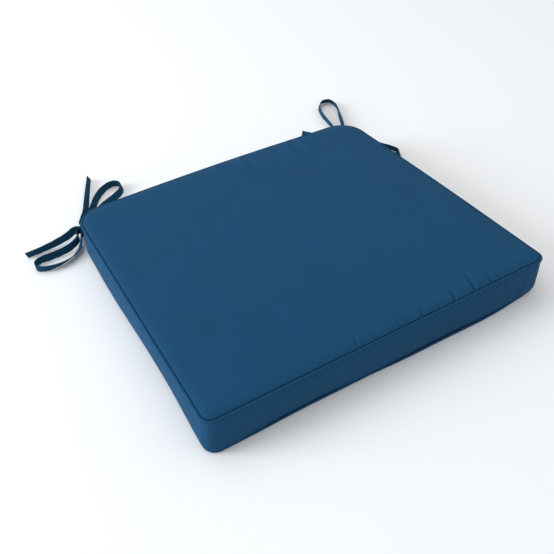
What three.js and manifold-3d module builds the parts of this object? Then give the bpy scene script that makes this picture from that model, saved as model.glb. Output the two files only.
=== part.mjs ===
// Boxed chair seat pad: foam and wadding in a piped cover, a zip in the rear boxing,
// and two sewn tie tapes at each rear corner, each pair tied in a bow on the surface beside the pad.
// Units are millimetres. +Z is up, +X is the sitter's right and +Y points to the chair's back.
// The origin is the centre of the flat underside.
import * as THREE from 'three';
import { mergeVertices } from 'three/addons/utils/BufferGeometryUtils.js';
import Module from 'manifold-3d';

// Pad outline, along the line of stitching that holds the piping
const FRONT_WIDTH = 462;
const BACK_WIDTH = 448;
const DEPTH = 410;
const FRONT_RADIUS = 13;
const BACK_RADIUS = 36;
const ARC_STEPS = 6;
const STRAIGHT_STEPS = 10;

// Cloth and seams
const CLOTH = 0.8;
const GAP = 0.3;
const SEAM_ALLOWANCE = 7;
const BOTTOM_TUCK = 3;
const WALL_INSET = 0.8;

// Piping: a cotton cord in a folded strip whose two flanges lie in the seam
const PIPING_RADIUS = 1.5;
const PIPING_CLOTH = 0.35;
const PIPING_CORD_RADIUS = 0.95;
const PIPING_OFFSET = 0.9;
const TOP_SEAM_Z = 49;
const BOTTOM_SEAM_Z = PIPING_RADIUS + 0.05;
const FLANGE_HALF = PIPING_CLOTH + GAP / 2;
const PIPING_JOIN_HALF = 0.4;
const PIPING_SIDES = 8;
const PIPING_CORD_SIDES = 7;

// Filling
const CROWN = 4.5;
const CROWN_POWER = 5;
const FOAM_INSET = 5;
const FOAM_BOTTOM = 5.2;
const FOAM_TOP = 44;
const WADDING_INSET = 9.5;
const WADDING_EDGE_TOP = TOP_SEAM_Z + FLANGE_HALF;

// Heights where the boxing strip starts and ends, between the two lines of piping; at its foot
// it turns out over the lower piping, which is tucked under
const BOXING_BOTTOM = BOTTOM_SEAM_Z + FLANGE_HALF + GAP;
const BOXING_TOP = TOP_SEAM_Z - FLANGE_HALF - GAP;
const FOOT_BOTTOM = BOTTOM_SEAM_Z + PIPING_RADIUS + GAP;
const FOOT_CHAMFER = 1.2;

// Zip in the rear boxing
const ZIP_Z = (BOXING_BOTTOM + BOXING_TOP) / 2;
const ZIP_PANEL_HALF = 180;
const ZIP_OPENING = 4.6;
const TAPE_WIDTH = 11;
const TAPE_THICKNESS = 0.5;
const COIL_HALF_LENGTH = 168;
const COIL_GAP_HALF = 0.6;
const COIL_HEIGHT = 1.8;
const COIL_DEPTH = 2.0;
const STOP_LENGTH = 3;

// Zip slider, pull tab and the bridge that holds the tab
const SLIDER_LENGTH = 9;
const SLIDER_HALF_HEIGHT = 3.5;
const SLIDER_PLATE = 0.8;
const SLIDER_POST_HALF = 0.3;
const SLIDER_LIP = 0.5;
const SLIDER_SLOT_HALF = 0.6;
const SLIDER_REST_X = 160;
const BRIDGE_HALF_LENGTH = 3;
const BRIDGE_OPENING_HALF = 2;
const BRIDGE_CLEAR = 1.8;
const BRIDGE_METAL = 0.6;
const BRIDGE_HALF_WIDTH = 0.6;
const TAB_LENGTH = 20;
const TAB_HALF_WIDTH = 2.3;
const TAB_THICKNESS = 0.9;
const TAB_SLOT_HALF = 1.1;
const TAB_SLOT_LENGTH = 3.6;

// Tie tapes and the knots of the two bows
const TIE_WIDTH = 10.5;
const TIE_THICKNESS = 1.5;
const TIE_CLEARANCE = 0.2;
const TIE_EDGE = 0.3;
const TIE_CORNER = 0.5;
const TIE_STEP = 10;
const TIE_LOOP_STEP = 6;
const KNOT_X = 214;
const KNOT_Y = 225;
const KNOT_HALF = [9, 8, 6.6];
const KNOT_Z = 7.2;

const COLOURS = {
  cover: 0x254b6f,
  piping: 0x22486a,
  tie: 0x1f4261,
  foam: 0xe9dfae,
  wadding: 0xf1f1ee,
  cord: 0xe4ddcc,
  tape: 0x1d3a57,
  coil: 0x1b3550,
  metal: 0xb9bcc0,
};

const wasm = await Module();
wasm.setup();

const pad = new THREE.Group();

function addMesh(parent, name, geometry, colour, metalness = 0, roughness = 0.9) {
  const material = new THREE.MeshStandardMaterial({ color: colour, roughness, metalness });
  const mesh = new THREE.Mesh(geometry, material);
  mesh.name = name;
  parent.add(mesh);
  return mesh;
}

// The four virtual corners of the outline, clockwise seen from above, starting at the rear right
function outlineCorners() {
  const back = DEPTH / 2;
  return [
    { point: new THREE.Vector2(BACK_WIDTH / 2, back), radius: BACK_RADIUS },
    { point: new THREE.Vector2(FRONT_WIDTH / 2, -back), radius: FRONT_RADIUS },
    { point: new THREE.Vector2(-FRONT_WIDTH / 2, -back), radius: FRONT_RADIUS },
    { point: new THREE.Vector2(-BACK_WIDTH / 2, back), radius: BACK_RADIUS },
  ];
}

// Stations round one corner: a point of the stitching line and the outward direction there
function cornerArc(index) {
  const corners = outlineCorners();
  const count = corners.length;
  const { point, radius } = corners[index];
  const before = corners[(index + count - 1) % count].point.clone().sub(point).normalize();
  const after = corners[(index + 1) % count].point.clone().sub(point).normalize();
  const halfAngle = Math.acos(before.dot(after)) / 2;
  const inward = before.clone().add(after).normalize();
  const centre = point.clone().addScaledVector(inward, radius / Math.sin(halfAngle));
  const tangent = radius / Math.tan(halfAngle);
  const first = point.clone().addScaledVector(before, tangent).sub(centre);
  const turn = Math.PI - 2 * halfAngle;
  const stations = [];
  for (let step = 0; step <= ARC_STEPS; step += 1) {
    const spoke = first.clone().rotateAround(new THREE.Vector2(), (-turn * step) / ARC_STEPS);
    stations.push({ point: centre.clone().add(spoke), outward: spoke.clone().normalize() });
  }
  return stations;
}

function rearStation(x) {
  return { point: new THREE.Vector2(x, DEPTH / 2), outward: new THREE.Vector2(0, 1) };
}

// Clockwise from one place on the rear edge, round all four corners, to another place on it
function rimRun(startX, endX) {
  const corners = [0, 1, 2, 3].flatMap((index) => cornerArc(index));
  return [rearStation(startX), ...corners, rearStation(endX)];
}

// A path that hands its own stations and section directions to ExtrudeGeometry
class StationPath extends THREE.Curve {
  constructor(points, sideways, upward) {
    super();
    this.points = points;
    this.sideways = sideways;
    this.upward = upward;
  }

  getPoint(t, target = new THREE.Vector3()) {
    const last = this.points.length - 1;
    const place = Math.min(t * last, last - 1e-9);
    const index = Math.floor(place);
    return target.lerpVectors(this.points[index], this.points[index + 1], place - index);
  }

  getSpacedPoints() {
    return this.points;
  }

  computeFrenetFrames() {
    const tangents = this.sideways.map((side, i) => side.clone().cross(this.upward[i]));
    return { tangents, normals: this.sideways, binormals: this.upward };
  }
}

function polygon(points) {
  return new THREE.Shape(points.map(([x, y]) => new THREE.Vector2(x, y)));
}

// Sweep a section along rim stations: x in the section is outward and y is height
function sweepAlongRim(stations, section) {
  const points = stations.map(({ point }) => new THREE.Vector3(point.x, point.y, 0));
  const sideways = stations.map(({ outward }) => new THREE.Vector3(outward.x, outward.y, 0));
  const upward = stations.map(() => new THREE.Vector3(0, 0, 1));
  const path = new StationPath(points, sideways, upward);
  return new THREE.ExtrudeGeometry(polygon(section), { steps: points.length - 1, extrudePath: path });
}

// The closed outline at an inset from the stitching line
function outlinePoints(inset) {
  const stations = [0, 1, 2, 3].flatMap((index) => cornerArc(index));
  return stations.map(({ point, outward }) => point.clone().addScaledVector(outward, -inset));
}

function flatSlab(inset, bottom, top) {
  const shape = new THREE.Shape(outlinePoints(inset).reverse());
  const geometry = new THREE.ExtrudeGeometry(shape, { depth: top - bottom, bevelEnabled: false });
  geometry.translate(0, 0, bottom);
  return geometry;
}

// Counter-clockwise stations from the middle of one corner arc to the middle of the next,
// with the straight edges divided, so that a square grid can be wrapped onto the outline
function wrapStations(inset) {
  const half = ARC_STEPS / 2;
  const arcs = [2, 1, 0, 3].map((index) => cornerArc(index).reverse());
  const stations = [];
  for (let side = 0; side < arcs.length; side += 1) {
    const leaving = arcs[side].slice(half);
    const arriving = arcs[(side + 1) % arcs.length].slice(0, half);
    const start = leaving[leaving.length - 1];
    const end = arcs[(side + 1) % arcs.length][0];
    const along = [];
    for (let step = 1; step < STRAIGHT_STEPS; step += 1) {
      const point = start.point.clone().lerp(end.point, step / STRAIGHT_STEPS);
      along.push({ point, outward: start.outward });
    }
    stations.push(...leaving, ...along, ...arriving);
  }
  return stations.map(({ point, outward }) => point.clone().addScaledVector(outward, -inset));
}

// A sheet or layer whose top, and bottom too if asked, rises to a crown in the middle
function crownedLayer(inset, edgeBottom, edgeTop, bottomCrown, topCrown) {
  const stations = wrapStations(inset);
  const grid = stations.length / 4;
  const geometry = new THREE.BoxGeometry(2, 2, 2, grid, grid, 1);
  const position = geometry.attributes.position;
  for (let i = 0; i < position.count; i += 1) {
    const u = position.getX(i);
    const v = position.getY(i);
    const ring = Math.max(Math.abs(u), Math.abs(v));
    const place = ring < 1e-9 ? 0 : perimeterPlace(u / ring, v / ring) * grid;
    const index = Math.floor(place + 1e-6);
    const next = stations[(index + 1) % stations.length];
    const rim = stations[index % stations.length].clone().lerp(next, Math.max(0, place - index));
    const rise = 1 - ring ** CROWN_POWER;
    const isTop = position.getZ(i) > 0;
    const z = isTop ? edgeTop + topCrown * rise : edgeBottom + bottomCrown * rise;
    position.setXYZ(i, rim.x * ring, rim.y * ring, z);
  }
  return geometry;
}

// Place on the edge of the square from -1 to 1, as 0 to 4 counter-clockwise from its front left
function perimeterPlace(u, v) {
  if (v <= -1 + 1e-9) return (u + 1) / 2;
  if (u >= 1 - 1e-9) return 1 + (v + 1) / 2;
  if (v >= 1 - 1e-9) return 2 + (1 - u) / 2;
  return 3 + (1 - v) / 2;
}

function addFilling() {
  addMesh(pad, 'foam_core', flatSlab(FOAM_INSET, FOAM_BOTTOM, FOAM_TOP), COLOURS.foam);
  const lower = flatSlab(WADDING_INSET + BOTTOM_TUCK, CLOTH + GAP, FOAM_BOTTOM - GAP);
  addMesh(pad, 'wadding_bottom', lower, COLOURS.wadding);
  const upper = crownedLayer(WADDING_INSET, FOAM_TOP + GAP, WADDING_EDGE_TOP, 0, CROWN);
  addMesh(pad, 'wadding_top', upper, COLOURS.wadding);
}

function addPanels() {
  const bottom = flatSlab(WALL_INSET + BOTTOM_TUCK, 0, CLOTH);
  addMesh(pad, 'cover_bottom_panel', bottom, COLOURS.cover);
  const edge = TOP_SEAM_Z + FLANGE_HALF + GAP;
  const top = crownedLayer(WALL_INSET, edge, edge + CLOTH, CROWN, CROWN);
  addMesh(pad, 'cover_top_panel', top, COLOURS.cover);
}

// The foot of the boxing: its seam allowance and the turn out over the lower piping, from the
// wall's outer face round to its inner face
function boxingFoot() {
  const outer = -WALL_INSET;
  const seam = outer - BOTTOM_TUCK;
  const allowance = seam - SEAM_ALLOWANCE;
  return [
    [outer, FOOT_BOTTOM + FOOT_CHAMFER],
    [outer - FOOT_CHAMFER, FOOT_BOTTOM],
    [seam, FOOT_BOTTOM],
    [seam, BOXING_BOTTOM],
    [allowance, BOXING_BOTTOM],
    [allowance, BOXING_BOTTOM + CLOTH],
    [seam - CLOTH, BOXING_BOTTOM + CLOTH],
    [seam - CLOTH, FOOT_BOTTOM + CLOTH],
    [outer - FOOT_CHAMFER, FOOT_BOTTOM + CLOTH],
    [outer - CLOTH, FOOT_BOTTOM + FOOT_CHAMFER],
  ];
}

// The head of the boxing: its seam allowance, from the wall's inner face round to its outer face
function boxingHead() {
  const outer = -WALL_INSET;
  const allowance = outer - SEAM_ALLOWANCE;
  return [
    [outer - CLOTH, BOXING_TOP - CLOTH],
    [allowance, BOXING_TOP - CLOTH],
    [allowance, BOXING_TOP],
    [outer, BOXING_TOP],
  ];
}

function boxingSection() {
  return [...boxingFoot(), ...boxingHead()];
}

// The two halves of the rear boxing end in a plain edge beside the zip
function upperBoxingSection(edge) {
  return [[-WALL_INSET, edge], [-WALL_INSET - CLOTH, edge], ...boxingHead()];
}

function lowerBoxingSection(edge) {
  return [...boxingFoot(), [-WALL_INSET - CLOTH, edge], [-WALL_INSET, edge]];
}

function addBoxing() {
  const sides = sweepAlongRim(rimRun(ZIP_PANEL_HALF, -ZIP_PANEL_HALF), boxingSection());
  addMesh(pad, 'boxing_front_and_sides', sides, COLOURS.cover);
  const end = ZIP_PANEL_HALF - GAP;
  const rear = [rearStation(-end), rearStation(end)];
  const upper = upperBoxingSection(ZIP_Z + ZIP_OPENING);
  const lower = lowerBoxingSection(ZIP_Z - ZIP_OPENING);
  addMesh(pad, 'boxing_rear_upper', sweepAlongRim(rear, upper), COLOURS.cover);
  addMesh(pad, 'boxing_rear_lower', sweepAlongRim(rear, lower), COLOURS.cover);
}

// Folded piping strip: a tube, slit on its inner side, with a flange on each side of the slit;
// centre is how far its middle is outside the line of stitching
function pipingCoverSection(centre, z) {
  const outer = PIPING_RADIUS;
  const inner = PIPING_RADIUS - PIPING_CLOTH;
  const flangeEnd = centre - PIPING_OFFSET - WALL_INSET - SEAM_ALLOWANCE;
  const outerSlit = Math.PI - Math.asin(FLANGE_HALF / outer);
  const innerSlit = Math.PI - Math.asin(GAP / 2 / inner);
  const points = [];
  for (let i = 0; i <= PIPING_SIDES; i += 1) {
    const angle = outerSlit * (1 - (2 * i) / PIPING_SIDES);
    points.push([centre + outer * Math.cos(angle), z + outer * Math.sin(angle)]);
  }
  points.push([flangeEnd, z - FLANGE_HALF], [flangeEnd, z - GAP / 2]);
  for (let i = 0; i <= PIPING_SIDES; i += 1) {
    const angle = innerSlit * ((2 * i) / PIPING_SIDES - 1);
    points.push([centre + inner * Math.cos(angle), z + inner * Math.sin(angle)]);
  }
  points.push([flangeEnd, z + GAP / 2], [flangeEnd, z + FLANGE_HALF]);
  return points;
}

function pipingCordSection(centre, z) {
  const points = [];
  for (let i = 0; i < PIPING_CORD_SIDES; i += 1) {
    const angle = (2 * Math.PI * i) / PIPING_CORD_SIDES;
    const x = centre + PIPING_CORD_RADIUS * Math.cos(angle);
    points.push([x, z + PIPING_CORD_RADIUS * Math.sin(angle)]);
  }
  return points;
}

// Both lines of piping meet end to end in the middle of the rear edge
function addPiping() {
  const run = rimRun(PIPING_JOIN_HALF, -PIPING_JOIN_HALF);
  const levels = [
    ['top', PIPING_OFFSET, TOP_SEAM_Z],
    ['bottom', PIPING_OFFSET - BOTTOM_TUCK, BOTTOM_SEAM_Z],
  ];
  for (const [level, centre, z] of levels) {
    const cover = sweepAlongRim(run, pipingCoverSection(centre, z));
    const cord = sweepAlongRim(run, pipingCordSection(centre, z));
    addMesh(pad, `piping_cover_${level}`, cover, COLOURS.piping);
    addMesh(pad, `piping_cord_${level}`, cord, COLOURS.cord);
  }
}

function box(minimum, maximum) {
  const low = new THREE.Vector3(...minimum);
  const high = new THREE.Vector3(...maximum);
  const size = high.clone().sub(low);
  const geometry = new THREE.BoxGeometry(size.x, size.y, size.z);
  const centre = low.add(high).multiplyScalar(0.5);
  geometry.translate(centre.x, centre.y, centre.z);
  return geometry;
}

// The zip's tapes, coils and stops; side is +1 for the half above the opening
function addZipHalf(name, side, coilFront, tapeFront) {
  const heights = (near, far) => (side > 0
    ? [ZIP_Z + near, ZIP_Z + far]
    : [ZIP_Z - far, ZIP_Z - near]);
  const coilTop = COIL_GAP_HALF + COIL_HEIGHT;
  const [coilLow, coilHigh] = heights(COIL_GAP_HALF, coilTop);
  const [tapeLow, tapeHigh] = heights(coilTop + GAP, coilTop + GAP + TAPE_WIDTH);
  const tapeEnd = ZIP_PANEL_HALF - 2;
  const tapeBack = tapeFront - TAPE_THICKNESS;
  const coilBack = coilFront - COIL_DEPTH;
  const tape = box([-tapeEnd, tapeBack, tapeLow], [tapeEnd, tapeFront, tapeHigh]);
  addMesh(pad, `zip_tape_${name}`, tape, COLOURS.tape);
  const reach = COIL_HALF_LENGTH;
  const coil = box([-reach, coilBack, coilLow], [reach, coilFront, coilHigh]);
  addMesh(pad, `zip_coil_${name}`, coil, COLOURS.coil, 0, 0.5);
  const start = reach + GAP;
  const stop = box([start, coilBack, coilLow], [start + STOP_LENGTH, coilFront, coilHigh]);
  addMesh(pad, `zip_top_stop_${name}`, stop, COLOURS.metal, 0.9, 0.35);
}

function zipCoilFront() {
  const tapeMiddle = DEPTH / 2 - WALL_INSET - CLOTH - GAP - TAPE_THICKNESS / 2;
  return tapeMiddle + COIL_DEPTH / 2;
}

function addZipChain() {
  const tapeFront = DEPTH / 2 - WALL_INSET - CLOTH - GAP;
  const coilFront = zipCoilFront();
  addZipHalf('upper', 1, coilFront, tapeFront);
  addZipHalf('lower', -1, coilFront, tapeFront);
  const start = -COIL_HALF_LENGTH - GAP;
  const reach = COIL_GAP_HALF + COIL_HEIGHT;
  const low = [start - STOP_LENGTH, coilFront - COIL_DEPTH, ZIP_Z - reach];
  const stop = box(low, [start, coilFront, ZIP_Z + reach]);
  addMesh(pad, 'zip_bottom_stop', stop, COLOURS.metal, 0.9, 0.35);
}

function toSolid(geometry) {
  const plain = geometry.index ? geometry.clone() : mergeVertices(geometry.clone());
  plain.deleteAttribute('normal');
  plain.deleteAttribute('uv');
  const merged = mergeVertices(plain, 1e-4);
  const vertProperties = new Float32Array(merged.attributes.position.array);
  const triVerts = new Uint32Array(merged.index.array);
  return new wasm.Manifold(new wasm.Mesh({ numProp: 3, vertProperties, triVerts }));
}

function toGeometry(solid) {
  const mesh = solid.getMesh();
  const geometry = new THREE.BufferGeometry();
  geometry.setAttribute('position', new THREE.BufferAttribute(mesh.vertProperties, 3));
  geometry.setIndex(new THREE.BufferAttribute(mesh.triVerts, 1));
  return geometry;
}

// The slider's section: two plates joined by a post between the coils, with lips that turn
// towards each other and leave a slot for the tape. Points are [height, depth] from its middle.
function sliderSection() {
  const post = SLIDER_POST_HALF;
  const slot = SLIDER_SLOT_HALF;
  const clear = COIL_DEPTH / 2 + GAP;
  const face = clear + SLIDER_PLATE;
  const edge = SLIDER_HALF_HEIGHT;
  const lip = edge - SLIDER_LIP;
  const down = [[edge, face], [edge, slot], [lip, slot], [lip, clear], [post, clear]];
  const up = down.map(([height, depth]) => [height, -depth]).reverse();
  const upperHalf = [...down, ...up];
  const lowerHalf = upperHalf.map(([height, depth]) => [-height, -depth]);
  return [...upperHalf, ...lowerHalf];
}

// An arch on the outer plate, standing along the zip, that the pull tab's eye hangs on
function bridgeGeometry(plateFace) {
  const outer = BRIDGE_HALF_LENGTH;
  const inner = BRIDGE_OPENING_HALF;
  const foot = plateFace - SLIDER_PLATE / 2;
  const top = plateFace + BRIDGE_CLEAR;
  const arch = polygon([
    [-outer, foot],
    [-inner, foot],
    [-inner, top],
    [inner, top],
    [inner, foot],
    [outer, foot],
    [outer, top],
    [inner, top + BRIDGE_METAL],
    [-inner, top + BRIDGE_METAL],
    [-outer, top],
  ]);
  const depth = 2 * BRIDGE_HALF_WIDTH;
  const geometry = new THREE.ExtrudeGeometry(arch, { depth, bevelEnabled: false });
  geometry.translate(0, 0, -BRIDGE_HALF_WIDTH);
  return geometry;
}

function addSlider() {
  const slider = new THREE.Group();
  slider.position.set(SLIDER_REST_X, zipCoilFront() - COIL_DEPTH / 2, ZIP_Z);
  pad.add(slider);
  const section = polygon(sliderSection());
  const body = new THREE.ExtrudeGeometry(section, { depth: SLIDER_LENGTH, bevelEnabled: false });
  body.translate(0, 0, -SLIDER_LENGTH / 2);
  // section x becomes height, section y stays depth and the extrusion runs along the zip
  body.rotateY(-Math.PI / 2);
  const plateFace = COIL_DEPTH / 2 + GAP + SLIDER_PLATE;
  const solid = toSolid(body).add(toSolid(bridgeGeometry(plateFace)));
  addMesh(slider, 'zip_slider', toGeometry(solid), COLOURS.metal, 0.9, 0.35);
  addMesh(slider, 'zip_pull_tab', pullTabGeometry(plateFace), COLOURS.metal, 0.9, 0.35);
}

// The tab lies flat along the closed teeth; its end bar is under the bridge
function pullTabGeometry(plateFace) {
  const half = TAB_THICKNESS / 2;
  const far = -TAB_LENGTH;
  const round = TAB_HALF_WIDTH;
  const shape = new THREE.Shape();
  shape.moveTo(half, -round);
  shape.lineTo(half, round);
  shape.lineTo(far + round, round);
  shape.absarc(far + round, 0, round, Math.PI / 2, (3 * Math.PI) / 2, false);
  shape.lineTo(half, -round);
  const slot = new THREE.Path();
  slot.moveTo(-half, -TAB_SLOT_HALF);
  slot.lineTo(-half - TAB_SLOT_LENGTH, -TAB_SLOT_HALF);
  slot.lineTo(-half - TAB_SLOT_LENGTH, TAB_SLOT_HALF);
  slot.lineTo(-half, TAB_SLOT_HALF);
  slot.closePath();
  const hole = new THREE.Path();
  hole.absarc(far + round, 0, round / 2, 0, 2 * Math.PI, true);
  shape.holes.push(slot, hole);
  const options = { depth: TAB_THICKNESS, bevelEnabled: false, curveSegments: 6 };
  const geometry = new THREE.ExtrudeGeometry(shape, options);
  geometry.translate(0, 0, -half);
  geometry.rotateX(Math.PI / 2);
  geometry.translate(0, plateFace + BRIDGE_CLEAR / 2, 0);
  return geometry;
}

// Tie routes. Each point is [x, y, lift, tilt]: lift is how far the tape's lower edge is above
// the surface, and tilt is the angle of the tape's width from level, in degrees, so that 90 is
// a tape on its edge. lead runs from the seam to the knot, loop is the bow's loop and tail is
// the free end.
const TIES = {
  left_back: {
    lead: [[-201.4, 202.8, 4.5, 0], [-203.5, 209, 3.6, 12], [-206.4, 215.4, 2.4, 30]],
    loop: [
      [-205.4, 234.2, 2.5, 84], [-196.5, 251.5, 1.6, 70], [-183, 272.5, 0.8, 58],
      [-171.5, 290, 0.2, 54], [-158.5, 303.8, 0, 60], [-144.5, 312, 0, 76],
      [-133, 312, 0, 90], [-127.6, 303, 0, 100], [-132, 289.5, 0, 114],
      [-145, 279.3, 0, 128], [-162, 270, 0.4, 134], [-176.5, 259.5, 1, 126],
      [-190, 244.6, 2, 108], [-200.8, 230.6, 2.6, 94],
    ],
    tail: [
      [-226.8, 226, 4.4, 120], [-239, 221.5, 2.6, 116], [-259, 217.3, 0.8, 100],
      [-281, 215, 0, 86], [-302, 213.8, 0, 80],
    ],
  },
  left_side: {
    lead: [[-213.7, 194.6, 4.5, 0], [-216.2, 198.6, 3.6, 6], [-215.8, 206, 2.6, 20], [-213.8, 214.8, 1.6, 24]],
    loop: [
      [-224.5, 221, 3.4, 92], [-229, 205.8, 2.8, 100], [-244, 197, 1, 108],
      [-259, 194.3, 0.3, 110], [-274, 193.8, 0, 108], [-286.5, 193.4, 0, 100],
      [-295, 188.6, 0, 94], [-296, 180, 0, 92], [-289, 173.2, 0, 100],
      [-275, 170.4, 0, 116], [-259, 172.6, 0, 130], [-244, 179.2, 0.2, 138],
      [-233.8, 187.6, 0.8, 136], [-227.4, 198, 2.2, 120], [-223.4, 209.6, 1.4, 104],
    ],
    tail: [
      [-212.4, 236.2, 3.6, 40], [-206.8, 247.5, 2.4, 46], [-198, 264, 1.2, 52],
      [-190, 283.5, 0.4, 56], [-179, 310, 0, 62], [-168, 336, 0, 68],
      [-161.6, 351.4, 0, 70],
    ],
  },
  right_back: {
    lead: [[201.4, 202.8, 4.5, 0], [203.5, 209, 3.6, -12], [206.4, 215.4, 2.4, -30]],
    loop: [
      [218.6, 235.4, 2.8, 84], [229, 243.5, 1.8, 82], [238, 261.5, 0.8, 78],
      [242.5, 283, 0.2, 80], [248, 309, 0, 88], [257.5, 332, 0, 102],
      [272.5, 346, 0, 116], [285, 342.5, 0, 116], [285.5, 322, 0, 104],
      [272, 291.8, 0, 86], [261.5, 269.4, 0.8, 76], [250, 249.2, 1.8, 76],
      [238, 238.2, 2.4, 84], [225.6, 231, 2.6, 92],
    ],
    tail: [
      [208.6, 235.6, 3.6, 88], [204, 243.2, 2.4, 90], [196.5, 255.2, 1, 92],
      [189.5, 267, 0.2, 93], [184.6, 275.6, 0, 94],
    ],
  },
  right_side: {
    lead: [[213.7, 194.6, 4.5, 0], [216.2, 198.6, 3.6, -6], [215.8, 206, 2.6, -20], [213.8, 214.8, 1.6, -24]],
    loop: [
      [225.8, 222.8, 3.2, 96], [239, 214.5, 1.8, 92], [252, 200.5, 0.6, 92],
      [263, 184.5, 0, 98], [273, 168, 0, 104], [281, 153, 0, 108],
      [283.5, 142.5, 0, 110], [279, 134.5, 0, 110], [269.5, 134.5, 0, 108],
      [259.5, 143.5, 0, 104], [249.5, 157, 0, 100], [240.5, 173, 0.3, 95],
      [233, 189, 1, 90], [226.8, 203.5, 2, 88], [223.2, 214.6, 3, 86],
    ],
    tail: [
      [203.4, 225.6, 4.2, 60], [191, 226.5, 2.6, 40], [176, 229.5, 1, 20],
      [158, 234, 0.2, 8], [138, 237, 0, 4], [118, 235, 0, 2], [100, 229, 0, 2],
    ],
  },
};

// Height of the middle of a tape whose lower edge is lift above the surface
function tieHeight(lift, tilt) {
  const angle = THREE.MathUtils.degToRad(tilt);
  const across = Math.abs(Math.sin(angle)) * TIE_WIDTH;
  const through = Math.abs(Math.cos(angle)) * TIE_THICKNESS;
  return TIE_CLEARANCE + lift + (across + through) / 2;
}

function tieSection() {
  const width = TIE_WIDTH / 2;
  const thickness = TIE_THICKNESS / 2;
  const edge = TIE_EDGE;
  const corner = width - TIE_CORNER;
  return [
    [width, -edge],
    [width, edge],
    [corner, thickness],
    [-corner, thickness],
    [-width, edge],
    [-width, -edge],
    [-corner, -thickness],
    [corner, -thickness],
  ];
}

// Sweep the tape's flat section along a smooth curve through the points of one stretch
function tieStretch(points, stepLength) {
  const places = points.map(([x, y, lift, tilt]) => new THREE.Vector3(x, y, tieHeight(lift, tilt)));
  const curve = new THREE.CatmullRomCurve3(places, false, 'centripetal');
  const tilts = points.map(([, , , tilt], i) => new THREE.Vector3(i, tilt, 0));
  const tiltCurve = new THREE.CatmullRomCurve3(tilts, false, 'catmullrom');
  const steps = Math.max(4, Math.round(curve.getLength() / stepLength));
  const stations = [];
  const sideways = [];
  const upward = [];
  for (let step = 0; step <= steps; step += 1) {
    const t = curve.getUtoTmapping(step / steps);
    const tangent = curve.getTangent(t);
    const tilt = THREE.MathUtils.degToRad(tiltCurve.getPoint(t).y);
    const level = new THREE.Vector3(-tangent.y, tangent.x, 0).normalize();
    const rise = tangent.clone().cross(level);
    const width = level.multiplyScalar(Math.cos(tilt)).addScaledVector(rise, Math.sin(tilt));
    stations.push(curve.getPoint(t));
    sideways.push(width);
    upward.push(tangent.clone().cross(width));
  }
  const path = new StationPath(stations, sideways, upward);
  return new THREE.ExtrudeGeometry(polygon(tieSection()), { steps, extrudePath: path });
}

function addTies() {
  for (const [name, route] of Object.entries(TIES)) {
    for (const [stretch, points] of Object.entries(route)) {
      const stepLength = stretch === 'loop' ? TIE_LOOP_STEP : TIE_STEP;
      addMesh(pad, `tie_${name}_${stretch}`, tieStretch(points, stepLength), COLOURS.tie);
    }
  }
}

// The knot of each bow as one rounded solid that the four stretches run into
function addKnots() {
  for (const [side, x] of [['left', -KNOT_X], ['right', KNOT_X]]) {
    const knot = new THREE.SphereGeometry(1, 16, 10);
    knot.scale(...KNOT_HALF);
    const mesh = addMesh(pad, `tie_knot_${side}`, knot, COLOURS.tie);
    mesh.position.set(x, KNOT_Y, KNOT_Z);
  }
}

addFilling();
addPanels();
addBoxing();
addPiping();
addZipChain();
addSlider();
addTies();
addKnots();

export default pad;
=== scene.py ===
import math

import bpy
import numpy as np
from mathutils import Matrix, Vector


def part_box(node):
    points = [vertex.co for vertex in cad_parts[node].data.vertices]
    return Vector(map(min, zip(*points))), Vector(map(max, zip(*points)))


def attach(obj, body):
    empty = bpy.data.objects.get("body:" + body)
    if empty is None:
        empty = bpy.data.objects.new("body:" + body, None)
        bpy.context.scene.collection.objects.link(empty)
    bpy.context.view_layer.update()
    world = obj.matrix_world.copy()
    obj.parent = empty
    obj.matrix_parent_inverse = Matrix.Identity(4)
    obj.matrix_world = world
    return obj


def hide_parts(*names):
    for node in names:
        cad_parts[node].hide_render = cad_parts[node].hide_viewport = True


# Boxed chair seat pad. Metres, +Z up, +X the sitter's right, +Y the chair's back; the origin is
# the centre of the flat underside.

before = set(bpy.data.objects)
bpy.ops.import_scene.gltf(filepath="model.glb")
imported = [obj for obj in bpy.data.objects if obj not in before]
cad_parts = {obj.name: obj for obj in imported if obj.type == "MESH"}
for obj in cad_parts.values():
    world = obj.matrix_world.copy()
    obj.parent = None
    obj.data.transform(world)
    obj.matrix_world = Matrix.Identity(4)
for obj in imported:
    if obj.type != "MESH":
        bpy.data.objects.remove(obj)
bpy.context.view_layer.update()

# Camera, from the photograph: it looks down on the front left corner
LENS = 46.61
SENSOR = 36
CAMERA_ELEVATION = 41.6
CAMERA_AZIMUTH = -29.05
CAMERA_ROLL = -2.77
CAMERA_DISTANCE = 0.9395
CAMERA_TARGET = Vector((-0.0325, -0.0069, 0))

# Outline of the top seam
FRONT_WIDTH = 0.462
BACK_WIDTH = 0.448
FRONT_EDGE = -0.205
BACK_RIGHT_EDGE = 0.2007
BACK_LEFT_EDGE = 0.2027
# front left, front right, back right and back left
CORNER_RADII = (0.012, 0.0115, 0.037, 0.034)
BACK_BOW = 0.0036
RIGHT_BOW = 0.0016

# Levels and cloth
CLOTH = 0.0008
WALL_INSET = 0.0008
SEAM_ALLOWANCE = 0.007
TOP_SEAM = 0.049
BOTTOM_SEAM = 0.00155
BOXING_LEVELS = (
    0.00235, 0.0038, 0.0062, 0.0115, 0.020675, 0.025275, 0.029875, 0.036, 0.0422, 0.0464, 0.0482,
)
ZIP_LEVEL = 5
PANEL_EDGE = 0.0526
CROWN = 0.0008
CROWN_POWER = 6

# Places where the foot of the boxing leans out: centre, reach and amount
SLUMPS = [
    ((0.150, -0.205), 0.070, 0.0042),
    ((0.010, -0.205), 0.110, 0.0040),
    ((-0.215, -0.205), 0.070, 0.0040),
    ((0.232, -0.205), 0.019, -0.0024),
    ((-0.229, 0.080), 0.100, 0.0032),
]

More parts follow.
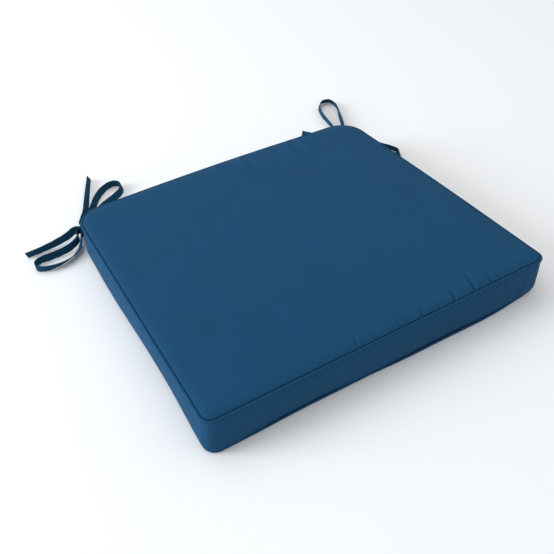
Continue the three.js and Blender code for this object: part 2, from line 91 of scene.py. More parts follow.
# Inflating
SIDE_CELLS = 64
CORNER_CELLS = 5
ZIP_PANEL_HALF = 0.180
PRESSURE = 4
SWELL = 0.0022
BOTTOM_TUCK = 0.003
# how far the wall stands outside its upper seam at each level; its foot turns in over the piping
WALL_STAND = (0, 0.0004, 0.0020, 0.0025, 0.0024, 0.0023, 0.0022, 0.0021, 0.0020, 0.0016, -0.0002)
# place along the front seam, reach and share of the tuck that is let out there
LET_OUT = [((0.085, -0.205), 0.095, 0.75), ((-0.120, -0.205), 0.070, 0.45)]
ZIP_WALL = 0.2042
ZIP_FADE = 6
SIM_FRAMES = 20
SIM_SETTINGS = {
    "quality": 6,
    "mass": 0.25,
    "tension_stiffness": 25,
    "compression_stiffness": 25,
    "shear_stiffness": 8,
    "bending_stiffness": 1.5,
    "use_pressure": True,
    "uniform_pressure_force": PRESSURE,
}

# Ties: two sewn tapes at each rear corner, tied in a bow
TIE_WIDTH = 0.0105
TIE_THICKNESS = 0.0015
TIE_CLEARANCE = 0.0002
SLANT_REACH = 0.03
# how far the cut runs along the tape for its width
TAIL_SLANT = {"left_back": 0.3, "left_side": -0.35, "right_back": -0.2, "right_side": 0.3}
KNOTS = {"left": Vector((-0.214, 0.225, 0.0072)), "right": Vector((0.214, 0.225, 0.0072))}
# One point is (x, y, lift of the lower edge, tilt of the width from level in degrees)
TIES = {
  "left_back": {
    "lead": [(-0.2014, 0.2028, 0.0045, 0), (-0.2035, 0.209, 0.0036, 12), (-0.2064, 0.2154, 0.0024, 30)],
    "loop": [
      (-0.2054, 0.2342, 0.0025, 84), (-0.1965, 0.2515, 0.0016, 70), (-0.183, 0.2725, 0.0008, 58),
      (-0.1715, 0.29, 0.0002, 54), (-0.1585, 0.3038, 0, 60), (-0.1445, 0.312, 0, 76),
      (-0.133, 0.312, 0, 90), (-0.1276, 0.303, 0, 100), (-0.132, 0.2895, 0, 114),
      (-0.145, 0.2793, 0, 128), (-0.162, 0.27, 0.0004, 134), (-0.1765, 0.2595, 0.001, 126),
      (-0.19, 0.2446, 0.002, 108), (-0.2008, 0.2306, 0.0026, 94),
    ],
    "tail": [
      (-0.2268, 0.226, 0.0044, 120), (-0.239, 0.2215, 0.0026, 116), (-0.259, 0.2173, 0.0008, 100),
      (-0.281, 0.215, 0, 86), (-0.302, 0.2138, 0, 80),
    ],
  },
  "left_side": {
    "lead": [
      (-0.2137, 0.1946, 0.0045, 0), (-0.2162, 0.1986, 0.0036, 6), (-0.2158, 0.206, 0.0026, 20),
      (-0.2138, 0.2148, 0.0016, 24),
    ],
    "loop": [
      (-0.2245, 0.221, 0.0034, 92), (-0.229, 0.2058, 0.0028, 100), (-0.244, 0.197, 0.001, 108),
      (-0.259, 0.1943, 0.0003, 110), (-0.274, 0.1938, 0, 108), (-0.2865, 0.1934, 0, 100),
      (-0.295, 0.1886, 0, 94), (-0.296, 0.18, 0, 92), (-0.289, 0.1732, 0, 100),
      (-0.275, 0.1704, 0, 116), (-0.259, 0.1726, 0, 130), (-0.244, 0.1792, 0.0002, 138),
      (-0.2338, 0.1876, 0.0008, 136), (-0.2274, 0.198, 0.0022, 120), (-0.2234, 0.2096, 0.0014, 104),
    ],
    "tail": [
      (-0.2124, 0.2362, 0.0036, 40), (-0.2068, 0.2475, 0.0024, 46), (-0.198, 0.264, 0.0012, 52),
      (-0.19, 0.2835, 0.0004, 56), (-0.179, 0.31, 0, 62), (-0.168, 0.336, 0, 68),
      (-0.1616, 0.3514, 0, 70),
    ],
  },
  "right_back": {
    "lead": [(0.2014, 0.2028, 0.0045, 0), (0.2035, 0.209, 0.0036, -12), (0.2064, 0.2154, 0.0024, -30)],
    "loop": [
      (0.2186, 0.2354, 0.0028, 84), (0.229, 0.2435, 0.0018, 82), (0.238, 0.2615, 0.0008, 78),
      (0.2425, 0.283, 0.0002, 80), (0.248, 0.309, 0, 88), (0.2575, 0.332, 0, 102),
      (0.2725, 0.346, 0, 116), (0.285, 0.3425, 0, 116), (0.2855, 0.322, 0, 104),
      (0.272, 0.2918, 0, 86), (0.2615, 0.2694, 0.0008, 76), (0.25, 0.2492, 0.0018, 76),
      (0.238, 0.2382, 0.0024, 84), (0.2256, 0.231, 0.0026, 92),
    ],
    "tail": [
      (0.2086, 0.2356, 0.0036, 88), (0.204, 0.2432, 0.0024, 90), (0.1965, 0.2552, 0.001, 92),
      (0.1895, 0.267, 0.0002, 93), (0.1846, 0.2756, 0, 94),
    ],
  },
  "right_side": {
    "lead": [
      (0.2137, 0.1946, 0.0045, 0), (0.2162, 0.1986, 0.0036, -6), (0.2158, 0.206, 0.0026, -20),
      (0.2138, 0.2148, 0.0016, -24),
    ],
    "loop": [
      (0.2258, 0.2228, 0.0032, 96), (0.239, 0.2145, 0.0018, 92), (0.252, 0.2005, 0.0006, 92),
      (0.263, 0.1845, 0, 98), (0.273, 0.168, 0, 104), (0.281, 0.153, 0, 108),
      (0.2835, 0.1425, 0, 110), (0.279, 0.1345, 0, 110), (0.2695, 0.1345, 0, 108),
      (0.2595, 0.1435, 0, 104), (0.2495, 0.157, 0, 100), (0.2405, 0.173, 0.0003, 95),
      (0.233, 0.189, 0.001, 90), (0.2268, 0.2035, 0.002, 88), (0.2232, 0.2146, 0.003, 86),
    ],
    "tail": [
      (0.2034, 0.2256, 0.0042, 60), (0.191, 0.2265, 0.0026, 40), (0.176, 0.2295, 0.001, 20),
      (0.158, 0.234, 0.0002, 8), (0.138, 0.237, 0, 4), (0.118, 0.235, 0, 2), (0.1, 0.229, 0, 2),
    ],
  },
}


# ---- Camera ----

def add_camera():
    elevation = math.radians(CAMERA_ELEVATION)
    azimuth = math.radians(CAMERA_AZIMUTH)
    back = Vector((
        math.sin(azimuth) * math.cos(elevation),
        -math.cos(azimuth) * math.cos(elevation),
        math.sin(elevation),
    ))
    right = Vector((math.cos(azimuth), math.sin(azimuth), 0))
    turned = Matrix((right, back.cross(right), back)).transposed()
    roll = Matrix.Rotation(math.radians(CAMERA_ROLL), 3, "Z")
    data = bpy.data.cameras.new("camera")
    data.lens = LENS
    data.sensor_width = SENSOR
    camera = bpy.data.objects.new("camera", data)
    bpy.context.collection.objects.link(camera)
    place = Matrix.Translation(CAMERA_TARGET + back * CAMERA_DISTANCE)
    camera.matrix_world = place @ (turned @ roll).to_4x4()
    bpy.context.scene.camera = camera


# ---- Meshes ----

def mesh_object(name, vertices, faces, face_uvs=None):
    """A smooth mesh; face_uvs has one (u, v) for each corner of each face, in metres."""
    mesh = bpy.data.meshes.new(name)
    mesh.from_pydata(np.asarray(vertices).tolist(), [], [list(face) for face in faces])
    if face_uvs is not None:
        layer = mesh.uv_layers.new(name="cloth")
        layer.data.foreach_set("uv", np.asarray(face_uvs, float).ravel())
    mesh.polygons.foreach_set("use_smooth", [True] * len(mesh.polygons))
    thing = bpy.data.objects.new(name, mesh)
    bpy.context.collection.objects.link(thing)
    return thing


def grid_faces(rows, columns):
    corner = np.arange((rows - 1) * columns).reshape(rows - 1, columns)[:, :-1].ravel()
    return np.stack([corner, corner + 1, corner + columns + 1, corner + columns], 1)


def applied(thing):
    """Replace the object's mesh by what its modifiers make of it."""
    graph = bpy.context.evaluated_depsgraph_get()
    made = bpy.data.meshes.new_from_object(thing.evaluated_get(graph), depsgraph=graph)
    thing.modifiers.clear()
    thing.data = made
    return thing


def cloth_sheet(name, points, uvs, thickness=CLOTH):
    """A sheet from a grid of points [row, column], thickened on the side its faces look from."""
    rows, columns = points.shape[:2]
    faces = grid_faces(rows, columns)
    thing = mesh_object(name, points.reshape(-1, 3), faces, uvs.reshape(-1, 2)[faces])
    solid = thing.modifiers.new("thickness", "SOLIDIFY")
    solid.thickness = thickness
    solid.offset = -1
    return applied(thing)


def swept(name, sections, uvs):
    """A closed tube from sections [station, corner]; uvs has one more corner than sections."""
    stations, corners = sections.shape[:2]
    faces, face_uvs = [], []
    for s in range(stations - 1):
        t = s + 1
        for c in range(corners):
            d = (c + 1) % corners
            faces.append((s * corners + c, t * corners + c, t * corners + d, s * corners + d))
            face_uvs += [uvs[s, c], uvs[t, c], uvs[t, c + 1], uvs[s, c + 1]]
    for s, order in ((0, 1), (stations - 1, -1)):
        faces.append([s * corners + c for c in range(corners)][::order])
        face_uvs += [uvs[s, c] for c in range(corners)][::order]
    return mesh_object(name, sections.reshape(-1, 3), faces, face_uvs)


def running_length(points):
    steps = np.linalg.norm(np.diff(points, axis=0), axis=1)
    return np.concatenate([[0], np.cumsum(steps)])


def uneven(length, *waves):
    """Close to 1 all along, with waves of (size, rate, start)."""
    return 1 + sum(size * np.sin(length * rate + start) for size, rate, start in waves)


def catmull_rom_rows(values, count, cyclic=False):
    """The matrix that reads a smooth curve through count values at these places."""
    values = np.asarray(values, float)
    cell = np.floor(values).astype(int)
    if not cyclic:
        cell = np.clip(cell, 0, count - 2)
    t = values - cell
    weights = [
        -0.5 * t**3 + t**2 - 0.5 * t,
        1.5 * t**3 - 2.5 * t**2 + 1,
        -1.5 * t**3 + 2 * t**2 + 0.5 * t,
        0.5 * t**3 - 0.5 * t**2,
    ]
    matrix = np.zeros((len(values), count))
    row = np.arange(len(values))
    for shift, weight in zip((-1, 0, 1, 2), weights):
        column = cell + shift
        if cyclic:
            np.add.at(matrix, (row, column % count), weight)
            continue
        # past an end, the curve runs straight on
        low, high = column < 0, column > count - 1
        inside = ~(low | high)
        np.add.at(matrix, (row[inside], column[inside]), weight[inside])
        np.add.at(matrix, (row[low], 0 * column[low]), 2 * weight[low])
        np.add.at(matrix, (row[low], 0 * column[low] + 1), -weight[low])
        np.add.at(matrix, (row[high], 0 * column[high] + count - 1), 2 * weight[high])
        np.add.at(matrix, (row[high], 0 * column[high] + count - 2), -weight[high])
    return matrix


# ---- Materials ----

def linear(red, green, blue):
    """A colour from sRGB numbers of 0 to 255."""
    levels = [c / 255 for c in (red, green, blue)]
    return [*(c / 12.92 if c <= 0.04045 else ((c + 0.055) / 1.055) ** 2.4 for c in levels), 1]


def shaded(colour, share):
    return [min(1, c * share) for c in colour[:3]] + [1]


class Surface:
    """A material with a Principled shader and short ways to add nodes to it."""

    def __init__(self, name, roughness, metallic=0, specular=0.5, sheen=0, sheen_tint=(1, 1, 1, 1)):
        self.material = bpy.data.materials.new(name)
        self.material.use_nodes = True
        self.tree = self.material.node_tree
        self.shader = self.tree.nodes["Principled BSDF"]
        self.shader.inputs["Roughness"].default_value = roughness
        self.shader.inputs["Metallic"].default_value = metallic
        self.shader.inputs["Sheen Weight"].default_value = sheen
        self.shader.inputs["Specular IOR Level"].default_value = specular
        self.shader.inputs["Sheen Tint"].default_value = sheen_tint

    def node(self, kind, inputs=(), **settings):
        made = self.tree.nodes.new(kind)
        for key, value in settings.items():
            setattr(made, key, value)
        for key, value in dict(inputs).items():
            if isinstance(value, bpy.types.NodeSocket):
                self.tree.links.new(value, made.inputs[key])
            else:
                made.inputs[key].default_value = value
        return made

    def maths(self, operation, *values):
        return self.node("ShaderNodeMath", enumerate(values), operation=operation).outputs[0]

    def add(self, first, second):
        return self.maths("ADD", first, second)

    def times(self, first, second):
        return self.maths("MULTIPLY", first, second)

    def object_place(self):
        return self.node("ShaderNodeTexCoord").outputs["Object"]

    def stretched(self, vector, scale):
        return self.node("ShaderNodeMapping", {"Vector": vector, "Scale": scale}).outputs[0]

    def place(self):
        """The piece's own cloth map, in metres along and across the threads."""
        uv = self.node("ShaderNodeUVMap", uv_map="cloth").outputs[0]
        parts = self.node("ShaderNodeSeparateXYZ", {"Vector": uv})
        return uv, parts.outputs[0], parts.outputs[1]

    def noise(self, vector, scale, detail=3, roughness=0.55):
        inputs = {"Vector": vector, "Scale": scale, "Detail": detail, "Roughness": roughness}
        return self.node("ShaderNodeTexNoise", inputs).outputs[0]

    def blend(self, factor, first, second):
        mix = self.node("ShaderNodeMix", data_type="RGBA")
        sockets = mix.inputs[0], mix.inputs[6], mix.inputs[7]
        for socket, value in zip(sockets, (factor, first, second)):
            if isinstance(value, bpy.types.NodeSocket):
                self.tree.links.new(value, socket)
            else:
                socket.default_value = value
        return mix.outputs[2]

    def span(self, value, low, high, to_low=0.0, to_high=1.0):
        inputs = {0: value, 1: low, 2: high, 3: to_low, 4: to_high}
        return self.node("ShaderNodeMapRange", inputs).outputs[0]

    def finish(self, colour=None, height=None, depth=0.0001, strength=1.0, roughness=None):
        if colour is not None:
            self.tree.links.new(colour, self.shader.inputs["Base Color"])
        if roughness is not None:
            self.tree.links.new(roughness, self.shader.inputs["Roughness"])
        if height is not None:
            inputs = {"Height": height, "Distance": depth, "Strength": strength}
            bump = self.node("ShaderNodeBump", inputs)
            self.tree.links.new(bump.outputs[0], self.shader.inputs["Normal"])
        return self.material


def plain_weave(surface, along, across, pitch):
    """Height of a plain weave from 0 to 1, and which of the two threads is on top there."""
    u = surface.maths("SINE", surface.times(along, math.pi / pitch))
    v = surface.maths("SINE", surface.times(across, math.pi / pitch))
    over = surface.span(surface.times(u, v), -0.5, 0.5)
    under = surface.maths("SUBTRACT", 1, over)
    warp = surface.times(surface.maths("ABSOLUTE", u), surface.span(over, 0, 1, 0.35, 1))
    weft = surface.times(surface.maths("ABSOLUTE", v), surface.span(under, 0, 1, 0.35, 1))
    return surface.maths("MAXIMUM", warp, weft), over


def cloth_material(name, colour, pitch=0.00062, fade=0.16, stitch=None):
    """Woven cotton: threads, slubs along them, faint uneven dye and short fibres."""
    surface = Surface(name, roughness=0.85, specular=0.16, sheen=0.03, sheen_tint=linear(90, 150, 200))
    uv, along, across = surface.place()
    weave, over = plain_weave(surface, along, across, pitch)
    slub_along = surface.noise(surface.stretched(uv, (90, 1400, 1)), 1, 2)
    slub_across = surface.noise(surface.stretched(uv, (1400, 90, 1)), 1, 2)
    slub = surface.add(slub_along, slub_across)
    dye = surface.noise(uv, 14, 3)
    fibres = surface.noise(uv, 2600, 2)
    dark, light = shaded(colour, 1 - fade), shaded(colour, 1 + fade)
    tone = surface.add(surface.span(slub, 0.7, 1.3, 0, 0.45), surface.span(dye, 0.3, 0.7, 0, 0.25))
    # the weave also tints the colour: painted highlight on the thread crowns and painted shade in the
    # hollows between the threads
    tone = surface.add(tone, surface.times(weave, 0.3))
    base = surface.blend(tone, dark, light)
    height = surface.add(weave, surface.times(slub, 0.35))
    height = surface.add(height, surface.times(fibres, 0.2))
    if stitch is not None:
        base, height = sewn_line(surface, along, across, base, height, light, *stitch)
    return surface.finish(base, height, depth=0.00016, strength=0.55)


def sewn_line(surface, along, across, base, height, thread, level, length=0.0026, width=0.00055):
    """A row of stitches at this place across the cloth, pressed a little into it."""
    away = surface.maths("ABSOLUTE", surface.maths("SUBTRACT", across, level))
    step = surface.maths("FRACT", surface.maths("DIVIDE", along, length))
    middle = surface.maths("ABSOLUTE", surface.maths("SUBTRACT", step, 0.5))
    in_line = surface.span(middle, 0.42, 0.34)
    in_stitch = surface.times(in_line, surface.span(away, width, width * 0.4))
    groove = surface.span(away, width * 2.6, 0)
    raised = surface.maths("SUBTRACT", surface.times(in_stitch, 2.2), surface.times(groove, 1.6))
    tone = surface.times(in_stitch, 0.8)
    return surface.blend(tone, base, thread), surface.add(height, raised)


COVER_COLOUR = linear(20, 70, 105)
TIE_COLOUR = linear(13, 62, 88)
ZIP_COLOUR = linear(26, 54, 84)


def filling_materials():
    foam = Surface("foam", roughness=0.9)
    place = foam.object_place()
    cells = foam.node("ShaderNodeTexVoronoi", {"Vector": place, "Scale": 900}).outputs["Distance"]
    age = foam.noise(place, 12, 4)
    colour = foam.blend(foam.span(age, 0.3, 0.7), linear(233, 221, 172), linear(224, 206, 148))
    # the foam is painted darker in the pits of its cells, which is painted shade
    colour = foam.blend(foam.span(cells, 0.1, 0.5), linear(196, 178, 126), colour)
    foam = foam.finish(colour, cells, depth=0.0004, strength=0.8)
    wadding = Surface("wadding", roughness=0.95, sheen=0.3)
    place = wadding.object_place()
    fluff = wadding.noise(place, 160, 6, 0.7)
    strands = wadding.noise(wadding.stretched(place, (400, 60, 200)), 1, 4)
    colour = wadding.blend(wadding.span(fluff, 0.3, 0.7), linear(226, 226, 220), linear(247, 247, 243))
    wadding = wadding.finish(colour, wadding.add(fluff, strands), depth=0.0012, strength=0.8)
    cord = Surface("piping_cord", roughness=0.9)
    uv, along, across = cord.place()
    slant = cord.add(cord.times(along, 1 / 0.004), cord.times(across, 3))
    strand = cord.maths("ABSOLUTE", cord.maths("SINE", cord.times(slant, math.pi)))
    fuzz = cord.noise(uv, 1800, 3)
    # the cord is painted darker in the grooves between its strands and lighter on their crowns, which is
    # painted shade and highlight, with random fuzz in the tone
    colour = cord.blend(cord.times(strand, fuzz), linear(196, 186, 162), linear(240, 234, 218))
    cord = cord.finish(colour, cord.add(strand, cord.times(fuzz, 0.3)), depth=0.0004)
    return {"foam": foam, "wadding": wadding, "piping_cord": cord}


def zip_materials():
    tape = Surface("zip_tape", roughness=0.7, sheen=0.1)
    _, along, across = tape.place()
    rib = tape.maths("ABSOLUTE", tape.maths("SINE", tape.times(along, math.pi / 0.0007)))
    line = tape.maths("ABSOLUTE", tape.maths("SINE", tape.times(across, math.pi / 0.0011)))
    zigzag = tape.times(rib, line)
    dark, light = shaded(ZIP_COLOUR, 0.75), shaded(ZIP_COLOUR, 1.2)
    # the tape's colour follows its woven ribs: painted highlight on the rib crests and painted shade in
    # the grooves between them
    tape = tape.finish(tape.blend(zigzag, dark, light), zigzag, depth=0.00012)
    coil = Surface("zip_coil", roughness=0.38)
    place = coil.object_place()
    drawn = coil.noise(place, 900, 2)
    colour = coil.blend(drawn, dark, light)
    polish = coil.span(drawn, 0.3, 0.7, 0.3, 0.5)
    coil = coil.finish(colour, drawn, depth=0.00003, roughness=polish)
    metal = Surface("zip_metal", roughness=0.3, metallic=1)
    place = metal.object_place()
    cast = metal.noise(place, 700, 4)
    handled = metal.noise(place, 120, 3)
    colour = metal.blend(metal.span(handled, 0.35, 0.65), linear(172, 174, 178), linear(206, 208, 211))
    polish = metal.span(handled, 0.3, 0.7, 0.24, 0.42)
    metal = metal.finish(colour, cast, depth=0.00004, strength=0.5, roughness=polish)
    return {"zip_tape": tape, "zip_coil": coil, "zip_metal": metal}


MATERIALS = {
    "cover_cloth": cloth_material("cover_cloth", COVER_COLOUR),
    "piping_cloth": cloth_material("piping_cloth", COVER_COLOUR, pitch=0.00055),
    "tie_cloth": cloth_material("tie_cloth", TIE_COLOUR, pitch=0.00055, stitch=(0.0016,)),
    **filling_materials(),
    **zip_materials(),
}


def place_piece(thing, slot, *nodes, body="pad"):
    """Give a piece its material and its body, and let it stand for these CAD nodes."""
    thing.data.materials.clear()
    thing.data.materials.append(MATERIALS[slot])
    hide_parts(*nodes)
    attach(thing, body)
    return thing


# ---- Ties ----

def smooth_route(points, spacing):
    """Stations along a centripetal Catmull-Rom curve, and the place among the points of each."""
    points = np.asarray(points, float)
    ends = np.stack([2 * points[0] - points[1], 2 * points[-1] - points[-2]])
    padded = np.vstack([ends[:1], points, ends[1:]])
    knots = np.concatenate([[0], np.cumsum(np.linalg.norm(np.diff(padded, axis=0), axis=1) ** 0.5)])
    places = np.linspace(0, len(points) - 1, 60 * len(points))
    curve = []
    for place in places:
        i = min(int(place), len(points) - 2)
        t0, t1, t2, t3 = knots[i:i + 4]
        p0, p1, p2, p3 = padded[i:i + 4]
        t = t1 + (t2 - t1) * (place - i)
        a = p0 + (p1 - p0) * (t - t0) / (t1 - t0)
        b = p1 + (p2 - p1) * (t - t1) / (t2 - t1)
        c = p2 + (p3 - p2) * (t - t2) / (t3 - t2)
        d = a + (b - a) * (t - t0) / (t2 - t0)
        e = b + (c - b) * (t - t1) / (t3 - t1)
        curve.append(d + (e - d) * (t - t1) / (t2 - t1))
    curve = np.array(curve)
    length = running_length(curve)
    stops = np.linspace(0, length[-1], round(length[-1] / spacing) + 1)
    stations = np.stack([np.interp(stops, length, curve[:, k]) for k in range(3)], 1)
    return stations, np.interp(stops, length, places), stops


def tie_middle(x, y, lift, tilt):
    angle = math.radians(tilt)
    across = abs(math.sin(angle)) * TIE_WIDTH + abs(math.cos(angle)) * TIE_THICKNESS
    return x, y, TIE_CLEARANCE + lift + across / 2


def tie_route(name):
    """All the places and tilts of one tape: seam, knot, loop, knot again and free end."""
    route = TIES[name]
    knot = KNOTS[name.split("_")[0]]
    stretches = [route["lead"], route["loop"], route["tail"]]
    places, tilts = [], []
    for stretch in stretches:
        if places:
            places.append(tuple(knot))
            tilts.append((tilts[-1] + stretch[0][3]) / 2)
        places += [tie_middle(*point) for point in stretch]
        tilts += [point[3] for point in stretch]
    return places, tilts


# The tape's section. Its edges are given as distance in from the edge and share of the half
# thickness; the sewn edge has a notch between its two layers, and the middle is a little thinner.
SEWN_NOTCH = 0.0004
SEWN_LIP = (0.0001, 0.00012)
SEWN_EDGE = ((0, 0.45), (0.00035, 0.9), (0.0009, 1))
FOLDED_EDGE = ((0.0009, 1), (0.0004, 0.85), (0.0001, 0.45))
TIE_HOLLOW = 0.1


def tie_section():
    """The folded tape, one rounded fold and one edge where the two turned-in layers meet."""
    half, thick = TIE_WIDTH / 2, TIE_THICKNESS / 2
    upper = [(-half + SEWN_LIP[0], SEWN_LIP[1])]
    upper += [(-half + inward, thick * share) for inward, share in SEWN_EDGE]
    upper += [(half * t, thick * (1 - TIE_HOLLOW * (1 - abs(t)))) for t in (-0.66, -0.33, 0, 0.33, 0.66)]
    upper += [(half - inward, thick * share) for inward, share in FOLDED_EDGE]
    lower = [(x, -y) for x, y in reversed(upper)]
    return np.array([(-half + SEWN_NOTCH, 0), *upper, (half, 0), *lower])


def add_tie(name):
    places, tilts = tie_route(name)
    stations, order, length = smooth_route(places, 0.0016)
    tilt = np.radians(catmull_rom_rows(order, len(tilts)) @ np.array(tilts))
    tangent = np.gradient(stations, axis=0)
    tangent /= np.linalg.norm(tangent, axis=1)[:, None]
    level = np.stack([-tangent[:, 1], tangent[:, 0], np.zeros(len(tangent))], 1)
    level /= np.linalg.norm(level, axis=1)[:, None]
    rise = np.cross(tangent, level)
    width = level * np.cos(tilt)[:, None] + rise * np.sin(tilt)[:, None]
    face = np.cross(tangent, width)
    section = tie_section()
    # the sewn edge draws the tape in a little, so its width is not quite even
    ease = uneven(length, (0.02, 410, 0), (0.015, 967, 1))
    across = section[None, :, 0, None] * width[:, None] * ease[:, None, None]
    rings = stations[:, None] + across + section[None, :, 1, None] * face[:, None]
    # the end is cut on a slant
    slant = TAIL_SLANT[name]
    cut_back = slant * section[:, 0] - abs(slant) * TIE_WIDTH / 2
    near_end = np.clip(1 - (length[-1] - length) / SLANT_REACH, 0, 1)
    rings += (near_end[:, None] * cut_back[None])[..., None] * tangent[:, None]
    girth = np.concatenate([section[:, 0], section[:1, 0]]) + TIE_WIDTH / 2
    uvs = np.stack(np.broadcast_arrays(length[:, None], girth[None]), -1)
    tape = swept(f"tie_{name}", rings, uvs)
    nodes = [f"tie_{name}_{stretch}" for stretch in ("lead", "loop", "tail")]
    place_piece(tape, "tie_cloth", *nodes)
    return tape, stations, length[-1]


KNOT_AXES = {"left": (0.78, 0.62, 0.0), "right": (0.78, -0.62, 0.0)}
KNOT_HALF_LENGTH = 0.0078
KNOT_CAP = 0.0066
KNOT_RADII = np.array([0.0072, 0.0072, 0.0060])
KNOT_END = 0.62
# place along the knot from -1 to 1, half width and depth
KNOT_FURROWS = ((0.25, 0.12, 0.055), (-0.4, 0.1, 0.04))
# the size of one face on the cloth map, round the knot and along it
KNOT_MAP = (0.00063, 0.0013)


def add_knot(side):
    """One bulging band for the tape that is pulled tight round the crossing tapes."""
    centre = np.array(KNOTS[side])
    axis = np.array(KNOT_AXES[side])
    flat = np.array([-axis[1], axis[0], 0.0])
    turns = np.linspace(0, 2 * math.pi, 73)[:-1]
    rings = []
    for angle in turns:
        out = flat * math.cos(angle) + np.array([0, 0, 1]) * math.sin(angle)
        bulge = 1 + 0.06 * math.sin(2 * angle + 0.6) + 0.04 * math.sin(5 * angle)
        profile = []
        for step in np.linspace(-1, 1, 13):
            waist = KNOT_END + (1 - KNOT_END) * (1 - step**2) ** 0.5
            furrow = sum(d * math.exp(-(((step - at) / width) ** 2)) for at, width, d in KNOT_FURROWS)
            profile.append((step * KNOT_HALF_LENGTH, waist * (1 - furrow) * bulge))
        ring = [axis * along + out * KNOT_RADII * share for along, share in profile]
        rings.append([centre + point for point in ring])
    rings = np.array(rings)
    count, across = rings.shape[:2]
    caps = centre + axis * np.array([[-KNOT_CAP], [KNOT_CAP]])
    vertices = np.vstack([rings.reshape(-1, 3), caps])
    faces, uvs = [], []
    for s in range(count):
        t = (s + 1) % count
        for c in range(across - 1):
            faces.append((s * across + c, s * across + c + 1, t * across + c + 1, t * across + c))
            u0, u1 = s * KNOT_MAP[0], (s + 1) * KNOT_MAP[0]
            v0, v1 = c * KNOT_MAP[1], (c + 1) * KNOT_MAP[1]
            uvs += [(u0, v0), (u0, v1), (u1, v1), (u1, v0)]
        faces.append((count * across, s * across, t * across))
        faces.append((count * across + 1, t * across + across - 1, s * across + across - 1))
        uvs += [(0, 0), (u0, v0), (u1, v0), (0, 0), (u1, v0), (u0, v0)]
    knot = mesh_object(f"knot_{side}", vertices, faces, uvs)
    return place_piece(knot, "tie_cloth", f"tie_knot_{side}")


def add_ties():
    for side in ("left", "right"):
        knot = add_knot(side)
        for name in (f"{side}_back", f"{side}_side"):
            tape, path, length = add_tie(name)


# ---- Floor and light ----

WORLD_LIGHT = 0.7
KEY_PLACE = (-3.45, 1.35, 1.38)
KEY_POWER = 113
KEY_COLOUR = (0.85, 0.93, 1)
OVERHEAD_PLACE = (-0.6, 0.9, 2.3)
OVERHEAD_POWER = 12
FLOOR_HALF = 4
FLOOR_DROP = 0.0003


def add_light(name, place, size, power, colour=(1, 1, 1)):
    data = bpy.data.lights.new(name, "AREA")
    data.size = size
    data.energy = power
    data.color = colour
    lamp = bpy.data.objects.new(name, data)
    bpy.context.collection.objects.link(lamp)
    lamp.location = place
    lamp.rotation_mode = "QUATERNION"
    lamp.rotation_quaternion = (-Vector(place)).to_track_quat("-Z", "Y")


def add_studio():
    corners = [(x * FLOOR_HALF, y * FLOOR_HALF, 0) for x, y in ((-1, -1), (1, -1), (1, 1), (-1, 1))]
    floor = mesh_object("floor", corners, [(0, 1, 2, 3)])
    paint = Surface("floor", roughness=0.9)
    place = paint.object_place()
    paper = paint.noise(place, 300, 3)
    colour = paint.blend(paper, linear(247, 247, 247), linear(252, 252, 252))
    floor.data.materials.append(paint.finish(colour, paper, depth=0.0001, strength=0.1))
    floor.location.z = -FLOOR_DROP
    world = bpy.data.worlds.new("studio")
    bpy.context.scene.world = world
    world.use_nodes = True
    world.node_tree.nodes["Background"].inputs[0].default_value = (0.97, 0.985, 1, 1)
    world.node_tree.nodes["Background"].inputs[1].default_value = WORLD_LIGHT
    add_light("key", KEY_PLACE, 1.9, KEY_POWER, KEY_COLOUR)
    add_light("overhead", OVERHEAD_PLACE, 2.2, OVERHEAD_POWER)
    bpy.context.scene.view_settings.view_transform = "Standard"


# ---- Pad outline ----

def unit(vector):
    return vector / np.linalg.norm(vector)


def corner_arc(index):
    """Points and outward directions round one rounded corner, counter-clockwise."""
    front, back = FRONT_WIDTH / 2, BACK_WIDTH / 2
    spots = np.array([
        (-front, FRONT_EDGE), (front, FRONT_EDGE), (back, BACK_RIGHT_EDGE), (-back, BACK_LEFT_EDGE),
    ])
    radius = CORNER_RADII[index]
    spot = spots[index]
    before = unit(spots[index - 1] - spot)
    after = unit(spots[(index + 1) % 4] - spot)
    half_angle = math.acos(before @ after) / 2
    centre = spot + unit(before + after) * radius / math.sin(half_angle)
    first = unit(spot + before * radius / math.tan(half_angle) - centre)
    angles = np.linspace(0, math.pi - 2 * half_angle, 2 * CORNER_CELLS + 1)
    outward = np.stack([
        first[0] * np.cos(angles) - first[1] * np.sin(angles),
        first[0] * np.sin(angles) + first[1] * np.cos(angles),
    ], 1)
    return centre + outward * radius, outward


def rim_stations():
    """SIDE_CELLS stations a side, counter-clockwise from the middle of the front left corner."""
    arcs = [corner_arc(index) for index in range(4)]
    points, outwards = [], []
    for side in range(4):
        (leaving, leaving_out), (arriving, arriving_out) = arcs[side], arcs[(side + 1) % 4]
        start, end = leaving[-1], arriving[0]
        cells = SIDE_CELLS - 2 * CORNER_CELLS
        along = np.linspace(0, 1, cells + 1)[1:-1]
        if side == 2:
            zip_panel = np.linspace(ZIP_PANEL_HALF, -ZIP_PANEL_HALF, cells - 1)
            along = (start[0] - zip_panel) / (start[0] - end[0])
        bow = {1: RIGHT_BOW, 2: BACK_BOW}.get(side, 0) * (1 - (2 * along - 1) ** 2) ** 1.5
        out = leaving_out[-1]
        straight = start + np.outer(along, end - start) + np.outer(bow, out)
        points += [*leaving[CORNER_CELLS:], *straight, *arriving[:CORNER_CELLS]]
        outwards += [*leaving_out[CORNER_CELLS:], *[out] * len(along), *arriving_out[:CORNER_CELLS]]
    return np.array(points), np.array(outwards)


RIM, OUTWARD = rim_stations()
RIM_COUNT = 4 * SIDE_CELLS
REAR_MIDDLE = 2.5 * SIDE_CELLS
REAR_RIGHT = 2 * SIDE_CELLS + CORNER_CELLS + 1
REAR_LEFT = 3 * SIDE_CELLS - CORNER_CELLS - 1


